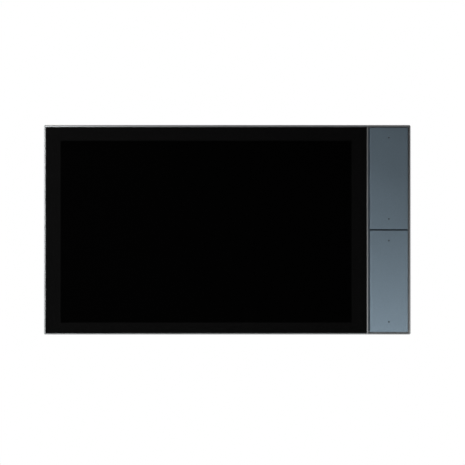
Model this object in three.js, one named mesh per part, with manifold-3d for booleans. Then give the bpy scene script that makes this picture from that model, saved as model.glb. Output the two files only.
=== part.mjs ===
// Indoor video intercom monitor: an aluminium-framed touch display with two rocker keys beside it,
// hung on the hooks of a steel wall bracket.
//
// Units are millimetres. X runs to the right as a person in front of the monitor sees it, Z is up
// and the front faces -Y. The origin is the centre of the bracket's rear face, so the wall is the
// plane Y = 0 and everything in front of it has a negative Y.

import * as THREE from 'three';
import { mergeVertices } from 'three/addons/utils/BufferGeometryUtils.js';
import Module from 'manifold-3d';

const wasm = await Module();
wasm.setup();

// ---------------------------------------------------------------- driving dimensions

// Front frame.
const WIDTH = 217.0;
const HEIGHT = 124.0;
const DEPTH = 24.0;
const FRAME_DEPTH = 11.0;
const FRAME_CORNER_RADIUS = 0.6;
const FRAME_CHAMFER = 0.3;
const FRAME_WALL = 1.6;
const LIP = 0.8;
const LIP_TOP = 1.1;
const LIP_BOTTOM = 0.6;
const LEDGE_DEPTH = 1.5;
const LEDGE_THICKNESS = 1.5;
const LEDGE_WIDTH = 2.0;

// Divider rib between the glass and the keys.
const RIB_LEFT = 82.7;
const RIB_RIGHT = 83.4;
const RIB_WEB_LEFT = 80.7;

// Display stack, front to back.
const GLASS_RECESS = 0.15;
const GLASS_THICKNESS = 1.1;
const GLASS_EDGE_GAP = 0.1;
const TAPE_THICKNESS = 0.2;
const LAYER_GAP = 0.1;
const TOUCH_THICKNESS = 0.5;
const LCD_THICKNESS = 1.0;
const LIGHT_GUIDE_THICKNESS = 0.8;
const TRAY_SHEET = 0.4;
const TRAY_WALL_HEIGHT = 1.95;
const TRAY_LEFT = -104.7;
const TRAY_RIGHT = 79.3;
const TRAY_BOTTOM = -58.6;
const TRAY_TOP = 55.0;

// Rocker keys. Their column is centred on KEY_X; the gap between them is centred on Z = 0.
const KEY_X = 95.7;
const KEY_WIDTH = 22.5;
const KEY_HEIGHT = 60.1;
const KEY_GAP = 0.85;
const KEY_FACE_THICKNESS = 1.1;
const KEY_FACE_CHAMFER = 0.3;
const ROCKER_WIDTH = 18.0;
const ROCKER_END_INSET = 1.2;
const ROCKER_PLATE = 1.2;
const ROCKER_RIB = 1.2;
const ROCKER_RIB_DEPTH = 1.3;
const PIVOT_RADIUS = 1.0;
const PIVOT_HOLE_RADIUS = 1.1;
const PIVOT_REACH = 1.2;
const PIVOT_DEPTH = 3.8;
const LIGHT_PIPE_FROM_END = 6.0;
const SWITCH_LEVER = 17.0;
const SWITCH_SIZE = 6.2;
const SWITCH_HEIGHT = 2.55;
const PLUNGER_RADIUS = 1.7;
const PLUNGER_CLEARANCE = 0.08;

// Key carrier and key board.
const CARRIER_WALL = 0.7;
const CARRIER_FLOOR = 1.2;
const CARRIER_REAR = 17.7;
const KEY_BOARD_THICKNESS = 1.0;
const KEY_BOARD_FRONT = 17.5;

// Plate and boards behind the display.
const MID_PLATE_FRONT = 17.5;
const MID_PLATE_THICKNESS = 1.0;
const MID_PLATE_HALF_HEIGHT = 52.5;
const BOARD_FRONT = 13.6;
const BOARD_THICKNESS = 1.6;
const BOARD_LEFT = -44.0;
const BOARD_RIGHT = 88.0;
const BOARD_BOTTOM = -12.0;
const BOARD_TOP = 44.0;

// Rear cover.
const COVER_FLANGE_FRONT = 14.6;
const COVER_FLANGE_THICKNESS = 1.5;
const COVER_HALF_WIDTH = 95.0;
const COVER_HALF_HEIGHT = 49.0;
const COVER_WALL = 2.0;
const COVER_BACK = 1.8;
const COVER_CORNER_RADIUS = 6.0;
const COVER_EDGE_ROUND = 1.5;

// Cable recess in the rear cover: shallow over the main board and deep below it, where the plugs go.
const RECESS_X = [-34.0, 48.0];
const RECESS_BOTTOM = -44.0;
const RECESS_STEP_Z = -14.0;
const RECESS_LEVELS = [{ floor: 10.1, top: 6.0 }, { floor: 12.8, top: RECESS_STEP_Z }];
const RECESS_WALL = 1.5;

// Wall bracket.
const BRACKET_THICKNESS = 1.5;
const BRACKET_HALF_WIDTH = 66.0;
const BRACKET_HALF_HEIGHT = 45.0;
const BRACKET_CORNER_RADIUS = 4.0;
const HOOK_X = 55.0;
const HOOK_TOPS = [24.0, -20.0];
const HOOK_WIDTH = 10.0;
const HOOK_TIP_HEIGHT = 5.5;
const HOOK_REACH = 4.0;
const HOOK_SLOT_HEIGHT = 9.0;
const LOCK_X = -47.0;
const LOCK_Y = -6.0;
const LOCK_TAB_TOP = -38.5;
const LOCK_TAB_WIDTH = 10.0;
const LOCK_TAB_REACH = 9.0;
const WALL_BOX_SPACING = 60.0;
const SCREW_SLOT_WIDTH = 4.0;
const SCREW_SLOT_LENGTH = 9.0;

// Screws: head and shank sizes.
const COVER_SCREW = { headRadius: 2.3, headHeight: 1.3, shankRadius: 1.15, length: 4.6 };
const PLATE_SCREW = { headRadius: 2.1, headHeight: 1.1, shankRadius: 1.0, length: 2.7 };
const BOARD_SCREW = { headRadius: 2.1, headHeight: 1.1, shankRadius: 1.0, length: 4.0 };
const KEY_BOARD_SCREW = { headRadius: 1.7, headHeight: 0.9, shankRadius: 0.85, length: 3.4 };
const LOCK_SCREW = { headRadius: 2.5, headHeight: 1.4, shankRadius: 1.2, length: 12.0 };
const SCREW_HOLE_GAP = 0.15;
const THREAD_GAP = 0.12;

// Sound.
const SPEAKER_X = -78.0;
const SPEAKER_Z = -16.0;
const SPEAKER_SIZE = [28.0, 40.0];
const MICROPHONE_X = -12.7;
const MICROPHONE_Y = -16.75;

// Reset button in the right-hand wall of the rear cover.
const RESET_Y = -10.0;
const RESET_Z = 20.0;
const RESET_RADIUS = 1.4;

// Facets.
const CORNER_STEPS = 3;
const SCREW_SIDES = 10;
const ROUND_SIDES = 16;

// ---------------------------------------------------------------- derived places

const HALF_WIDTH = WIDTH / 2;
const HALF_HEIGHT = HEIGHT / 2;
const FRONT_Y = -DEPTH;
const FRAME_REAR_Y = FRONT_Y + FRAME_DEPTH;
const LEDGE_Y = FRONT_Y + LEDGE_DEPTH;
const LEDGE_REAR_Y = LEDGE_Y + LEDGE_THICKNESS;

// The front opening inside the lip, and the hollow behind the ledge.
const OPENING = {
  x: [-HALF_WIDTH + LIP, HALF_WIDTH - LIP],
  z: [-HALF_HEIGHT + LIP_BOTTOM, HALF_HEIGHT - LIP_TOP],
};
const HOLLOW = {
  x: [-HALF_WIDTH + FRAME_WALL, HALF_WIDTH - FRAME_WALL],
  z: [-HALF_HEIGHT + FRAME_WALL, HALF_HEIGHT - FRAME_WALL],
};

const GLASS_FRONT_Y = FRONT_Y + GLASS_RECESS;
const GLASS_REAR_Y = GLASS_FRONT_Y + GLASS_THICKNESS;
const TOUCH_FRONT_Y = GLASS_REAR_Y + LAYER_GAP;
const LCD_FRONT_Y = TOUCH_FRONT_Y + TOUCH_THICKNESS + LAYER_GAP;
const GUIDE_FRONT_Y = LCD_FRONT_Y + LCD_THICKNESS + LAYER_GAP;
const TRAY_FRONT_Y = GUIDE_FRONT_Y + LIGHT_GUIDE_THICKNESS + LAYER_GAP;
const TRAY_REAR_Y = TRAY_FRONT_Y + TRAY_SHEET;

const KEY_CENTRES = {
  upper: KEY_GAP / 2 + KEY_HEIGHT / 2,
  lower: -KEY_GAP / 2 - KEY_HEIGHT / 2,
};
const KEY_FACE_REAR_Y = GLASS_FRONT_Y + KEY_FACE_THICKNESS;
const ROCKER_FRONT_Y = KEY_FACE_REAR_Y + 0.05;
const ROCKER_REAR_Y = ROCKER_FRONT_Y + ROCKER_PLATE;
const PIVOT_Y = FRONT_Y + PIVOT_DEPTH;
const LIGHT_PIPE_LEVER = KEY_HEIGHT / 2 - LIGHT_PIPE_FROM_END;
const END_SIGNS = { top: 1, bottom: -1 };

const CARRIER_REAR_Y = -CARRIER_REAR;
const CARRIER_FLOOR_Y = CARRIER_REAR_Y - CARRIER_FLOOR;
const CARRIER_LEFT = RIB_RIGHT + 0.1;
const CARRIER_RIGHT = HOLLOW.x[1] - 0.1;
const KEY_BOARD_Y = [-KEY_BOARD_FRONT, -KEY_BOARD_FRONT + KEY_BOARD_THICKNESS];

const MID_PLATE_Y = [-MID_PLATE_FRONT, -MID_PLATE_FRONT + MID_PLATE_THICKNESS];
const BOARD_Y = [-BOARD_FRONT, -BOARD_FRONT + BOARD_THICKNESS];
const FLANGE_Y = [-COVER_FLANGE_FRONT, -COVER_FLANGE_FRONT + COVER_FLANGE_THICKNESS];

// Corner and middle bosses in the frame for the rear cover's screws.
const BOSS_SIZE = 7.0;
const BOSS_FRONT_Y = -18.9;
const BOSS_REAR_Y = FLANGE_Y[0] - 0.1;
const COVER_SCREW_X = HOLLOW.x[1] - BOSS_SIZE / 2;
const COVER_SCREW_Z = HOLLOW.z[1] - BOSS_SIZE / 2;
const COVER_SCREW_PLACES = [-1, 1].flatMap((side) =>
  [-COVER_SCREW_X, 0, COVER_SCREW_X].map((x) => [x, side * COVER_SCREW_Z]));

// Lugs in the frame that the mid plate is screwed to.
const LUG_Y = [-19.4, MID_PLATE_Y[0] - 0.1];
const LUG_Z = 40.0;
const LUG_HALF_HEIGHT = 4.0;
const PLATE_SCREW_PLACES = [-1, 1].flatMap((side) => [[-101.5, side * LUG_Z], [77.5, side * LUG_Z]]);

const BOARD_SCREW_PLACES = [[-40.0, -8.0], [-40.0, 40.0], [76.0, -8.0], [70.0, 40.0]];
const KEY_BOARD_SCREW_PLACES = [[KEY_X - 4.7, 0], [KEY_X + 4.7, 0]];

// ---------------------------------------------------------------- shape helpers

const X = new THREE.Vector3(1, 0, 0);
const Y = new THREE.Vector3(0, 1, 0);
const Z = new THREE.Vector3(0, 0, 1);

// For each drawing plane: where a shape's own x and y go, and the way it is extruded.
const PLANES = {
  XY: [X, Y, Z],
  YZ: [Y, Z, X],
  XZ: [X, Z, Y.clone().negate()],
};

// A solid from a closed three.js geometry.
function solid(geometry) {
  geometry.deleteAttribute('normal');
  geometry.deleteAttribute('uv');
  const merged = mergeVertices(geometry, 1e-4);
  const corners = merged.index.array;
  const triVerts = [];
  for (let i = 0; i < corners.length; i += 3) {
    const [a, b, c] = [corners[i], corners[i + 1], corners[i + 2]];
    if (a !== b && b !== c && c !== a) {
      triVerts.push(a, b, c);
    }
  }
  return new wasm.Manifold(new wasm.Mesh({
    numProp: 3,
    vertProperties: new Float32Array(merged.attributes.position.array),
    triVerts: new Uint32Array(triVerts),
  }));
}

// A block between low and high values on each axis.
function box([x0, x1], [y0, y1], [z0, z1]) {
  const geometry = new THREE.BoxGeometry(x1 - x0, y1 - y0, z1 - z0);
  geometry.translate((x0 + x1) / 2, (y0 + y1) / 2, (z0 + z1) / 2);
  return solid(geometry);
}

// A shape drawn in a plane and extruded between two places on the third axis.
function extrude(shape, plane, [low, high], options = {}) {
  const geometry = new THREE.ExtrudeGeometry(shape, {
    depth: high - low,
    bevelEnabled: false,
    curveSegments: CORNER_STEPS,
    ...options,
  });
  const directions = PLANES[plane];
  geometry.applyMatrix4(new THREE.Matrix4().makeBasis(...directions));
  const along = directions[2];
  const start = along.dot(new THREE.Vector3(1, 1, 1)) > 0 ? low : -high;
  geometry.translate(...along.clone().multiplyScalar(start).toArray());
  return solid(geometry);
}

// The outline of a rectangle with round corners.
function roundedRectangle([left, right], [bottom, top], radius) {
  const shape = new THREE.Shape();
  shape.moveTo(right, bottom + radius);
  shape.absarc(right - radius, top - radius, radius, 0, Math.PI / 2);
  shape.absarc(left + radius, top - radius, radius, Math.PI / 2, Math.PI);
  shape.absarc(left + radius, bottom + radius, radius, Math.PI, 1.5 * Math.PI);
  shape.absarc(right - radius, bottom + radius, radius, 1.5 * Math.PI, 2 * Math.PI);
  return shape;
}

// A plate facing the wall, with round corners.
function plate(xRange, yRange, zRange, radius) {
  return extrude(roundedRectangle(xRange, zRange, radius), 'XZ', yRange);
}

// A round bar along one axis; the two centre values are those of the other axes, in X, Y, Z order.
function rod(axis, radius, [low, high], [first, second], sides = ROUND_SIDES) {
  const geometry = new THREE.CylinderGeometry(radius, radius, high - low, sides);
  const middle = (low + high) / 2;
  if (axis === 'X') {
    geometry.rotateZ(Math.PI / 2);
    geometry.translate(middle, first, second);
  } else if (axis === 'Y') {
    geometry.translate(first, middle, second);
  } else {
    geometry.rotateX(Math.PI / 2);
    geometry.translate(first, second, middle);
  }
  return solid(geometry);
}

// A turned piece about the Y axis through the origin, from [radius, y] pairs that start and end on
// the axis.
function turned(profile, sides) {
  const points = profile.map(([radius, y]) => new THREE.Vector2(radius, y));
  return solid(new THREE.LatheGeometry(points, sides));
}

const join = (...pieces) => pieces.reduce((whole, piece) => whole.add(piece));
const cut = (whole, ...tools) => tools.reduce((rest, tool) => rest.subtract(tool), whole);
const shrink = ([low, high], gap) => [low + gap, high - gap];

// ---------------------------------------------------------------- the model

const monitor = new THREE.Group();

const finish = (color, roughness, metalness) => ({ color, roughness, metalness });
const FINISHES = {
  frame: finish('#9a9c9c', 0.35, 1.0),
  slate: finish('#5a6a76', 0.45, 1.0),
  carrier: finish('#2f383f', 0.6, 0.0),
  glass: finish('#060606', 0.08, 0.0),
  clear: finish('#c8d0d4', 0.2, 0.0),
  tape: finish('#101010', 0.9, 0.0),
  steel: finish('#8c8f92', 0.4, 1.0),
  screw: finish('#6f7276', 0.35, 1.0),
  alloy: finish('#b4b7ba', 0.45, 1.0),
  board: finish('#14512f', 0.5, 0.0),
  chip: finish('#1b1b1c', 0.5, 0.0),
  nickel: finish('#b9bbb8', 0.3, 1.0),
  terminal: finish('#2e7d4f', 0.5, 0.0),
  rubber: finish('#161616', 0.9, 0.0),
  ribbon: finish('#8a5a1e', 0.5, 0.0),
  plastic: finish('#202224', 0.55, 0.0),
  bracket: finish('#3a3d40', 0.5, 0.6),
};

// Adds a solid to the model as a named mesh, in its own place or moved to another.
function addPiece(name, body, finishName, place = [0, 0, 0]) {
  const { vertProperties, triVerts } = body.getMesh();
  const geometry = new THREE.BufferGeometry();
  geometry.setAttribute('position', new THREE.BufferAttribute(vertProperties, 3));
  geometry.setIndex(new THREE.BufferAttribute(triVerts, 1));
  const mesh = new THREE.Mesh(geometry, new THREE.MeshStandardMaterial(FINISHES[finishName]));
  mesh.name = name;
  mesh.position.set(...place);
  monitor.add(mesh);
}

// A pan-head screw along Y with its head to the rear and its seat at Y = 0, driven by a cross.
function screw({ headRadius, headHeight, shankRadius, length }) {
  const body = turned([
    [0, -length],
    [shankRadius, -length + shankRadius],
    [shankRadius, 0],
    [headRadius, 0],
    [headRadius, headHeight * 0.45],
    [headRadius * 0.72, headHeight],
    [0, headHeight],
  ], SCREW_SIDES);
  const arm = headRadius * 0.55;
  const slit = headRadius * 0.13;
  const depth = [headHeight * 0.4, headHeight + 1];
  return cut(body, box([-arm, arm], depth, [-slit, slit]), box([-slit, slit], depth, [-arm, arm]));
}

// A set of like screws in rows, all seated at the same Y.
function addScrews(name, size, seatY, places) {
  places.forEach(([x, z], index) => {
    addPiece(`${name}_${index + 1}`, screw(size), 'screw', [x, seatY, z]);
  });
}

// Holes along Y for a set of screws.
function screwHoles(places, radius, yRange) {
  return places.map(([x, z]) => rod('Y', radius, yRange, [x, z], SCREW_SIDES));
}

// ---------------------------------------------------------------- frame and display

// The aluminium ring: a thin lip at the front, a ledge under the glass, a divider beside the keys,
// bosses for the rear cover and lugs for the mid plate.
function frontFrame() {
  const outline = roundedRectangle(
    shrink([-HALF_WIDTH, HALF_WIDTH], FRAME_CHAMFER),
    shrink([-HALF_HEIGHT, HALF_HEIGHT], FRAME_CHAMFER),
    FRAME_CORNER_RADIUS,
  );
  const block = extrude(outline, 'XZ', [FRONT_Y + FRAME_CHAMFER, FRAME_REAR_Y - FRAME_CHAMFER], {
    bevelEnabled: true,
    bevelSegments: 1,
    bevelSize: FRAME_CHAMFER,
    bevelThickness: FRAME_CHAMFER,
  });
  const through = [FRONT_Y - 1, FRAME_REAR_Y + 1];
  const glassBay = [OPENING.x[0], RIB_LEFT];
  const keyBay = [RIB_RIGHT, OPENING.x[1]];
  const ring = cut(
    block,
    box(glassBay, [FRONT_Y - 1, LEDGE_Y], OPENING.z),
    box(keyBay, [FRONT_Y - 1, LEDGE_REAR_Y + 0.1], OPENING.z),
    box([OPENING.x[0] + LEDGE_WIDTH, RIB_WEB_LEFT], through, shrink(OPENING.z, LEDGE_WIDTH)),
    box(HOLLOW.x, [LEDGE_REAR_Y, through[1]], HOLLOW.z),
  );
  const web = box([RIB_WEB_LEFT, RIB_RIGHT], [LEDGE_REAR_Y - 0.1, LUG_Y[1]], shrink(HOLLOW.z, -0.1));
  const bosses = COVER_SCREW_PLACES.map(([x, z]) => {
    const half = BOSS_SIZE / 2 + 0.1;
    return box([x - half, x + half], [BOSS_FRONT_Y, BOSS_REAR_Y], [z - half, z + half]);
  });
  const lugs = [-LUG_Z, LUG_Z].flatMap((z) => {
    const zRange = [z - LUG_HALF_HEIGHT, z + LUG_HALF_HEIGHT];
    return [
      box([HOLLOW.x[0] - 0.1, -98.0], LUG_Y, zRange),
      box([74.0, RIB_WEB_LEFT + 0.1], LUG_Y, zRange),
    ];
  });
  const bossHoles = screwHoles(
    COVER_SCREW_PLACES,
    COVER_SCREW.shankRadius + THREAD_GAP,
    [BOSS_FRONT_Y + 0.6, BOSS_REAR_Y + 1],
  );
  const lugHoles = screwHoles(
    PLATE_SCREW_PLACES,
    PLATE_SCREW.shankRadius + THREAD_GAP,
    [LUG_Y[0] - 1, LUG_Y[1] + 1],
  );
  const soundHole = rod('Z', 0.6, [-HALF_HEIGHT - 1, HOLLOW.z[0] + 1], [MICROPHONE_X, MICROPHONE_Y], 12);
  return cut(join(ring, web, ...bosses, ...lugs), ...bossHoles, ...lugHoles, soundHole);
}

function coverGlass() {
  return plate(
    shrink([OPENING.x[0], RIB_LEFT], GLASS_EDGE_GAP),
    [GLASS_FRONT_Y, GLASS_REAR_Y],
    shrink(OPENING.z, GLASS_EDGE_GAP),
    0.4,
  );
}

function glassTape() {
  const xRange = shrink([OPENING.x[0], RIB_LEFT], 0.3);
  const zRange = shrink(OPENING.z, 0.3);
  const yRange = [GLASS_REAR_Y + 0.02, GLASS_REAR_Y + 0.02 + TAPE_THICKNESS];
  const width = LEDGE_WIDTH - 0.4;
  return cut(
    box(xRange, yRange, zRange),
    box(shrink(xRange, width), [yRange[0] - 1, yRange[1] + 1], shrink(zRange, width)),
  );
}

// One sheet of the display stack, held inside the backlight tray's walls.
function displaySheet(frontY, thickness) {
  const margin = TRAY_SHEET + 0.3;
  return box(
    shrink([TRAY_LEFT, TRAY_RIGHT], margin),
    [frontY, frontY + thickness],
    shrink([TRAY_BOTTOM, TRAY_TOP], margin),
  );
}

// A shallow pressed-steel tray, open to the front.
function backlightTray() {
  const xRange = [TRAY_LEFT, TRAY_RIGHT];
  const zRange = [TRAY_BOTTOM, TRAY_TOP];
  return cut(
    box(xRange, [TRAY_REAR_Y - TRAY_WALL_HEIGHT, TRAY_REAR_Y], zRange),
    box(shrink(xRange, TRAY_SHEET), [FRONT_Y, TRAY_FRONT_Y], shrink(zRange, TRAY_SHEET)),
  );
}

addPiece('front_frame', frontFrame(), 'frame');
addPiece('cover_glass', coverGlass(), 'glass');
addPiece('glass_tape', glassTape(), 'tape');
addPiece('touch_sensor', displaySheet(TOUCH_FRONT_Y, TOUCH_THICKNESS), 'clear');
addPiece('lcd_cell', displaySheet(LCD_FRONT_Y, LCD_THICKNESS), 'glass');
addPiece('light_guide', displaySheet(GUIDE_FRONT_Y, LIGHT_GUIDE_THICKNESS), 'clear');
addPiece('backlight_tray', backlightTray(), 'steel');

// ---------------------------------------------------------------- mid plate and main board

// The plate behind the display, with standoffs for the main board.
function midPlate() {
  const sheet = box(
    [HOLLOW.x[0] + 1.9, RIB_RIGHT - 0.4],
    MID_PLATE_Y,
    [-MID_PLATE_HALF_HEIGHT, MID_PLATE_HALF_HEIGHT],
  );
  const standoffs = screwHoles(BOARD_SCREW_PLACES, 2.6, [MID_PLATE_Y[1] - 0.1, BOARD_Y[0] - 0.02]);
  const boardHoles = screwHoles(
    BOARD_SCREW_PLACES,
    BOARD_SCREW.shankRadius + THREAD_GAP,
    [MID_PLATE_Y[0] + 0.3, BOARD_Y[0] + 1],
  );
  const plateHoles = screwHoles(
    PLATE_SCREW_PLACES,
    PLATE_SCREW.shankRadius + SCREW_HOLE_GAP,
    [MID_PLATE_Y[0] - 1, MID_PLATE_Y[1] + 1],
  );
  return cut(join(sheet, ...standoffs), ...boardHoles, ...plateHoles);
}

const JACK_X = [-24.0, -8.0];
const JACK_Y = [-14.0, -2.4];
const JACK_Z = [-12.5, 5.0];
const PROCESSOR_X = 20.0;
const PROCESSOR_Z = 24.0;

// The populated board: its soldered parts are one body with it.
function mainBoard() {
  const board = plate([BOARD_LEFT, BOARD_RIGHT], BOARD_Y, [BOARD_BOTTOM, BOARD_TOP], 1.5);
  const rear = BOARD_Y[1];
  const front = BOARD_Y[0];
  const onRear = (xRange, zRange, height) => box(xRange, [rear - 0.1, rear + height], zRange);
  const onFront = (xRange, zRange, height) => box(xRange, [front - height, front + 0.1], zRange);
  const soldered = [
    onRear([-34, -19], [14, 27], 7.0),
    onRear([-34, -22], [31, 39], 4.5),
    onRear([46, 60], [26, 40], 1.1),
    onRear([62, 70], [30, 36], 2.0),
    onRear([64, 74], [12, 22], 1.0),
    onRear([-12, -4], [30, 36], 1.0),
    onRear([-42, -36], [2, 12], 4.0),
    onFront([-36.5, -25], [-10.5, -6.5], 1.2),
    onFront([19, 29], [-10.5, -6.5], 1.2),
    onFront([79, 84], [8, 20], 0.9),
    ...[[-12, 16], [-12, 24], [56, 14]].map(([x, z]) => rod('Y', 3.1, [rear - 0.1, rear + 5.8], [x, z])),
  ];
  const notch = box(shrink(JACK_X, -0.3), [front - 1, rear + 1], [BOARD_BOTTOM - 1, JACK_Z[1] + 0.3]);
  const holes = screwHoles(
    BOARD_SCREW_PLACES,
    BOARD_SCREW.shankRadius + SCREW_HOLE_GAP,
    [front - 1, rear + 1],
  );
  return cut(join(board, ...soldered), notch, ...holes);
}

// Finned heat sink over the processor.
function heatSink() {
  const xRange = [PROCESSOR_X - 18, PROCESSOR_X + 18];
  const zRange = [PROCESSOR_Z - 12, PROCESSOR_Z + 12];
  const base = BOARD_Y[1] + 1.4;
  const slots = [];
  for (let x = xRange[0] + 2.5; x < xRange[1] - 2; x += 4.5) {
    slots.push(box([x, x + 2.5], [base + 1.2, base + 9], [zRange[0] - 1, zRange[1] + 1]));
  }
  return cut(box(xRange, [base, base + 4.4], zRange), ...slots);
}

// A side-entry network socket sunk into the board, with its mouth facing down.
function ethernetJack() {
  const mouth = box([JACK_X[0] + 2.1, JACK_X[1] - 2.1], [-12.4, -5.4], [JACK_Z[0] - 1, -0.5]);
  const latchSlot = box([-18.6, -13.4], [-5.5, -3.6], [JACK_Z[0] - 1, -0.5]);
  return cut(box(JACK_X, JACK_Y, JACK_Z), mouth, latchSlot);
}

const TERMINAL_X = [2.0, 42.0];
const TERMINAL_Z = [-12.0, -1.0];
const TERMINAL_POLES = 8;

// Eight-pole screw terminal: wires enter from below, screws face the wall.
function terminalBlock() {
  const pitch = (TERMINAL_X[1] - TERMINAL_X[0]) / TERMINAL_POLES;
  const rear = BOARD_Y[1] + 8.4;
  const tools = [];
  for (let pole = 0; pole < TERMINAL_POLES; pole += 1) {
    const x = TERMINAL_X[0] + pitch * (pole + 0.5);
    tools.push(rod('Y', 1.7, [rear - 1.8, rear + 1], [x, -6.0], 8));
    tools.push(box([x - 1.6, x + 1.6], [BOARD_Y[1] + 2.2, BOARD_Y[1] + 5.6], [TERMINAL_Z[0] - 1, -8.0]));
  }
  return cut(box(TERMINAL_X, [BOARD_Y[1] + 0.02, rear], TERMINAL_Z), ...tools);
}

addPiece('mid_plate', midPlate(), 'alloy');
addScrews('mid_plate_screw', PLATE_SCREW, MID_PLATE_Y[1] + 0.02, PLATE_SCREW_PLACES);
addPiece('main_board', mainBoard(), 'board');
addScrews('main_board_screw', BOARD_SCREW, BOARD_Y[1] + 0.02, BOARD_SCREW_PLACES);
addPiece('processor', box(
  [PROCESSOR_X - 7, PROCESSOR_X + 7],
  [BOARD_Y[1] + 0.02, BOARD_Y[1] + 1.3],
  [PROCESSOR_Z - 7, PROCESSOR_Z + 7],
), 'chip');
addPiece('heat_sink', heatSink(), 'alloy');
addPiece('ethernet_jack', ethernetJack(), 'nickel');
addPiece('terminal_block', terminalBlock(), 'terminal');

// ---------------------------------------------------------------- sound

const SPEAKER_X_RANGE = [SPEAKER_X - SPEAKER_SIZE[0] / 2, SPEAKER_X + SPEAKER_SIZE[0] / 2];
const SPEAKER_Z_RANGE = [SPEAKER_Z - SPEAKER_SIZE[1] / 2, SPEAKER_Z + SPEAKER_SIZE[1] / 2];
const COVER_INSIDE_Y = -COVER_BACK - COVER_WALL;
const GASKET_Y = [COVER_INSIDE_Y - 0.95, COVER_INSIDE_Y - 0.05];

// Oval loudspeaker that faces the wall: rim, basket, magnet and a dished cone.
function speaker() {
  const rimY = [GASKET_Y[0] - 1.3, GASKET_Y[0] - 0.05];
  const rim = plate(SPEAKER_X_RANGE, rimY, SPEAKER_Z_RANGE, 8);
  const basket = plate(
    shrink(SPEAKER_X_RANGE, 3),
    [rimY[0] - 2.6, rimY[0] + 0.1],
    shrink(SPEAKER_Z_RANGE, 3),
    6,
  );
  const magnet = rod('Y', 8, [rimY[0] - 5.0, rimY[0] - 2.5], [SPEAKER_X, SPEAKER_Z]);
  const dish = plate(shrink(SPEAKER_X_RANGE, 4), [rimY[1] - 0.9, rimY[1] + 1], shrink(SPEAKER_Z_RANGE, 4), 6);
  const dome = rod('Y', 4, [rimY[1] - 1.0, rimY[1] - 0.2], [SPEAKER_X, SPEAKER_Z]);
  return join(cut(join(rim, basket, magnet), dish), dome);
}

function speakerGasket() {
  return cut(
    plate(SPEAKER_X_RANGE, GASKET_Y, SPEAKER_Z_RANGE, 8),
    plate(shrink(SPEAKER_X_RANGE, 2.5), [-DEPTH, 0], shrink(SPEAKER_Z_RANGE, 2.5), 5.5),
  );
}

// Rubber boot that holds the microphone over the sound hole in the frame's bottom wall.
function microphoneBoot() {
  const bottom = HOLLOW.z[0] + 0.1;
  const block = box([MICROPHONE_X - 3, MICROPHONE_X + 3], [-18.6, -14.9], [bottom, bottom + 2.7]);
  const pocket = rod('Z', 1.65, [bottom + 0.9, bottom + 4], [MICROPHONE_X, MICROPHONE_Y], 16);
  const port = rod('Z', 0.6, [bottom - 1, bottom + 1.5], [MICROPHONE_X, MICROPHONE_Y], 12);
  return cut(block, pocket, port);
}

const microphoneBottom = HOLLOW.z[0] + 1.05;

addPiece('speaker', speaker(), 'chip');
addPiece('speaker_gasket', speakerGasket(), 'rubber');
addPiece('microphone_boot', microphoneBoot(), 'rubber');
addPiece('microphone', rod(
  'Z',
  1.5,
  [microphoneBottom, microphoneBottom + 1.4],
  [MICROPHONE_X, MICROPHONE_Y],
  16,
), 'nickel');

// ---------------------------------------------------------------- ribbon cables

// A flat cable: a strip of even thickness along a line of square bends, extruded to its width.
function ribbon(plane, centreLine, widthRange) {
  const half = 0.15;
  const left = [];
  const right = [];
  centreLine.forEach(([a, b], index) => {
    const before = centreLine[Math.max(index - 1, 0)];
    const after = centreLine[Math.min(index + 1, centreLine.length - 1)];
    const into = index > 0 ? unit(before, [a, b]) : unit([a, b], after);
    const out = index < centreLine.length - 1 ? unit([a, b], after) : into;
    const normal = into[0] === out[0] && into[1] === out[1]
      ? [-into[1], into[0]]
      : [-into[1] - out[1], into[0] + out[0]];
    left.push(new THREE.Vector2(a + normal[0] * half, b + normal[1] * half));
    right.unshift(new THREE.Vector2(a - normal[0] * half, b - normal[1] * half));
  });
  return extrude(new THREE.Shape([...left, ...right]), plane, widthRange);
}

// The direction from one point to another, for lines along an axis.
function unit([a0, b0], [a1, b1]) {
  return [Math.sign(a1 - a0), Math.sign(b1 - b0)];
}

// From the tray's rear face, past the mid plate's lower edge and up to the main board.
const DISPLAY_RIBBON_LINE = [
  [TRAY_REAR_Y + 0.25, -57.0],
  [TRAY_REAR_Y + 0.25, -54.0],
  [-15.4, -54.0],
  [-15.4, -7.0],
];

// From the key board's connector to the main board's.
const KEY_RIBBON_LINE = [
  [KEY_X - 1.0, -16.2],
  [87.0, -16.2],
  [87.0, -14.8],
  [80.0, -14.8],
];

addPiece('display_ribbon', ribbon('YZ', DISPLAY_RIBBON_LINE, [-36.0, -25.5]), 'ribbon');
addPiece('touch_ribbon', ribbon('YZ', DISPLAY_RIBBON_LINE, [20.0, 28.0]), 'ribbon');
addPiece('key_ribbon', ribbon('XY', KEY_RIBBON_LINE, [9.0, 19.0]), 'ribbon');

// ---------------------------------------------------------------- rocker keys

const ends = Object.entries(END_SIGNS);
const keys = Object.entries(KEY_CENTRES);

// The anodised facing, centred on the key's own middle.
function keyFace() {
  const outline = roundedRectangle(
    shrink([-KEY_WIDTH / 2, KEY_WIDTH / 2], KEY_FACE_CHAMFER),
    shrink([-KEY_HEIGHT / 2, KEY_HEIGHT / 2], KEY_FACE_CHAMFER),
    0.3,
  );
  const block = extrude(outline, 'XZ', shrink([GLASS_FRONT_Y, KEY_FACE_REAR_Y], KEY_FACE_CHAMFER), {
    bevelEnabled: true,
    bevelSegments: 1,
    bevelSize: KEY_FACE_CHAMFER,
    bevelThickness: KEY_FACE_CHAMFER,
  });
  const holes = ends.map(([, sign]) =>
    rod('Y', 0.55, [FRONT_Y, KEY_FACE_REAR_Y + 1], [0, sign * LIGHT_PIPE_LEVER], 12));
  return cut(block, ...holes);
}

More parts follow.
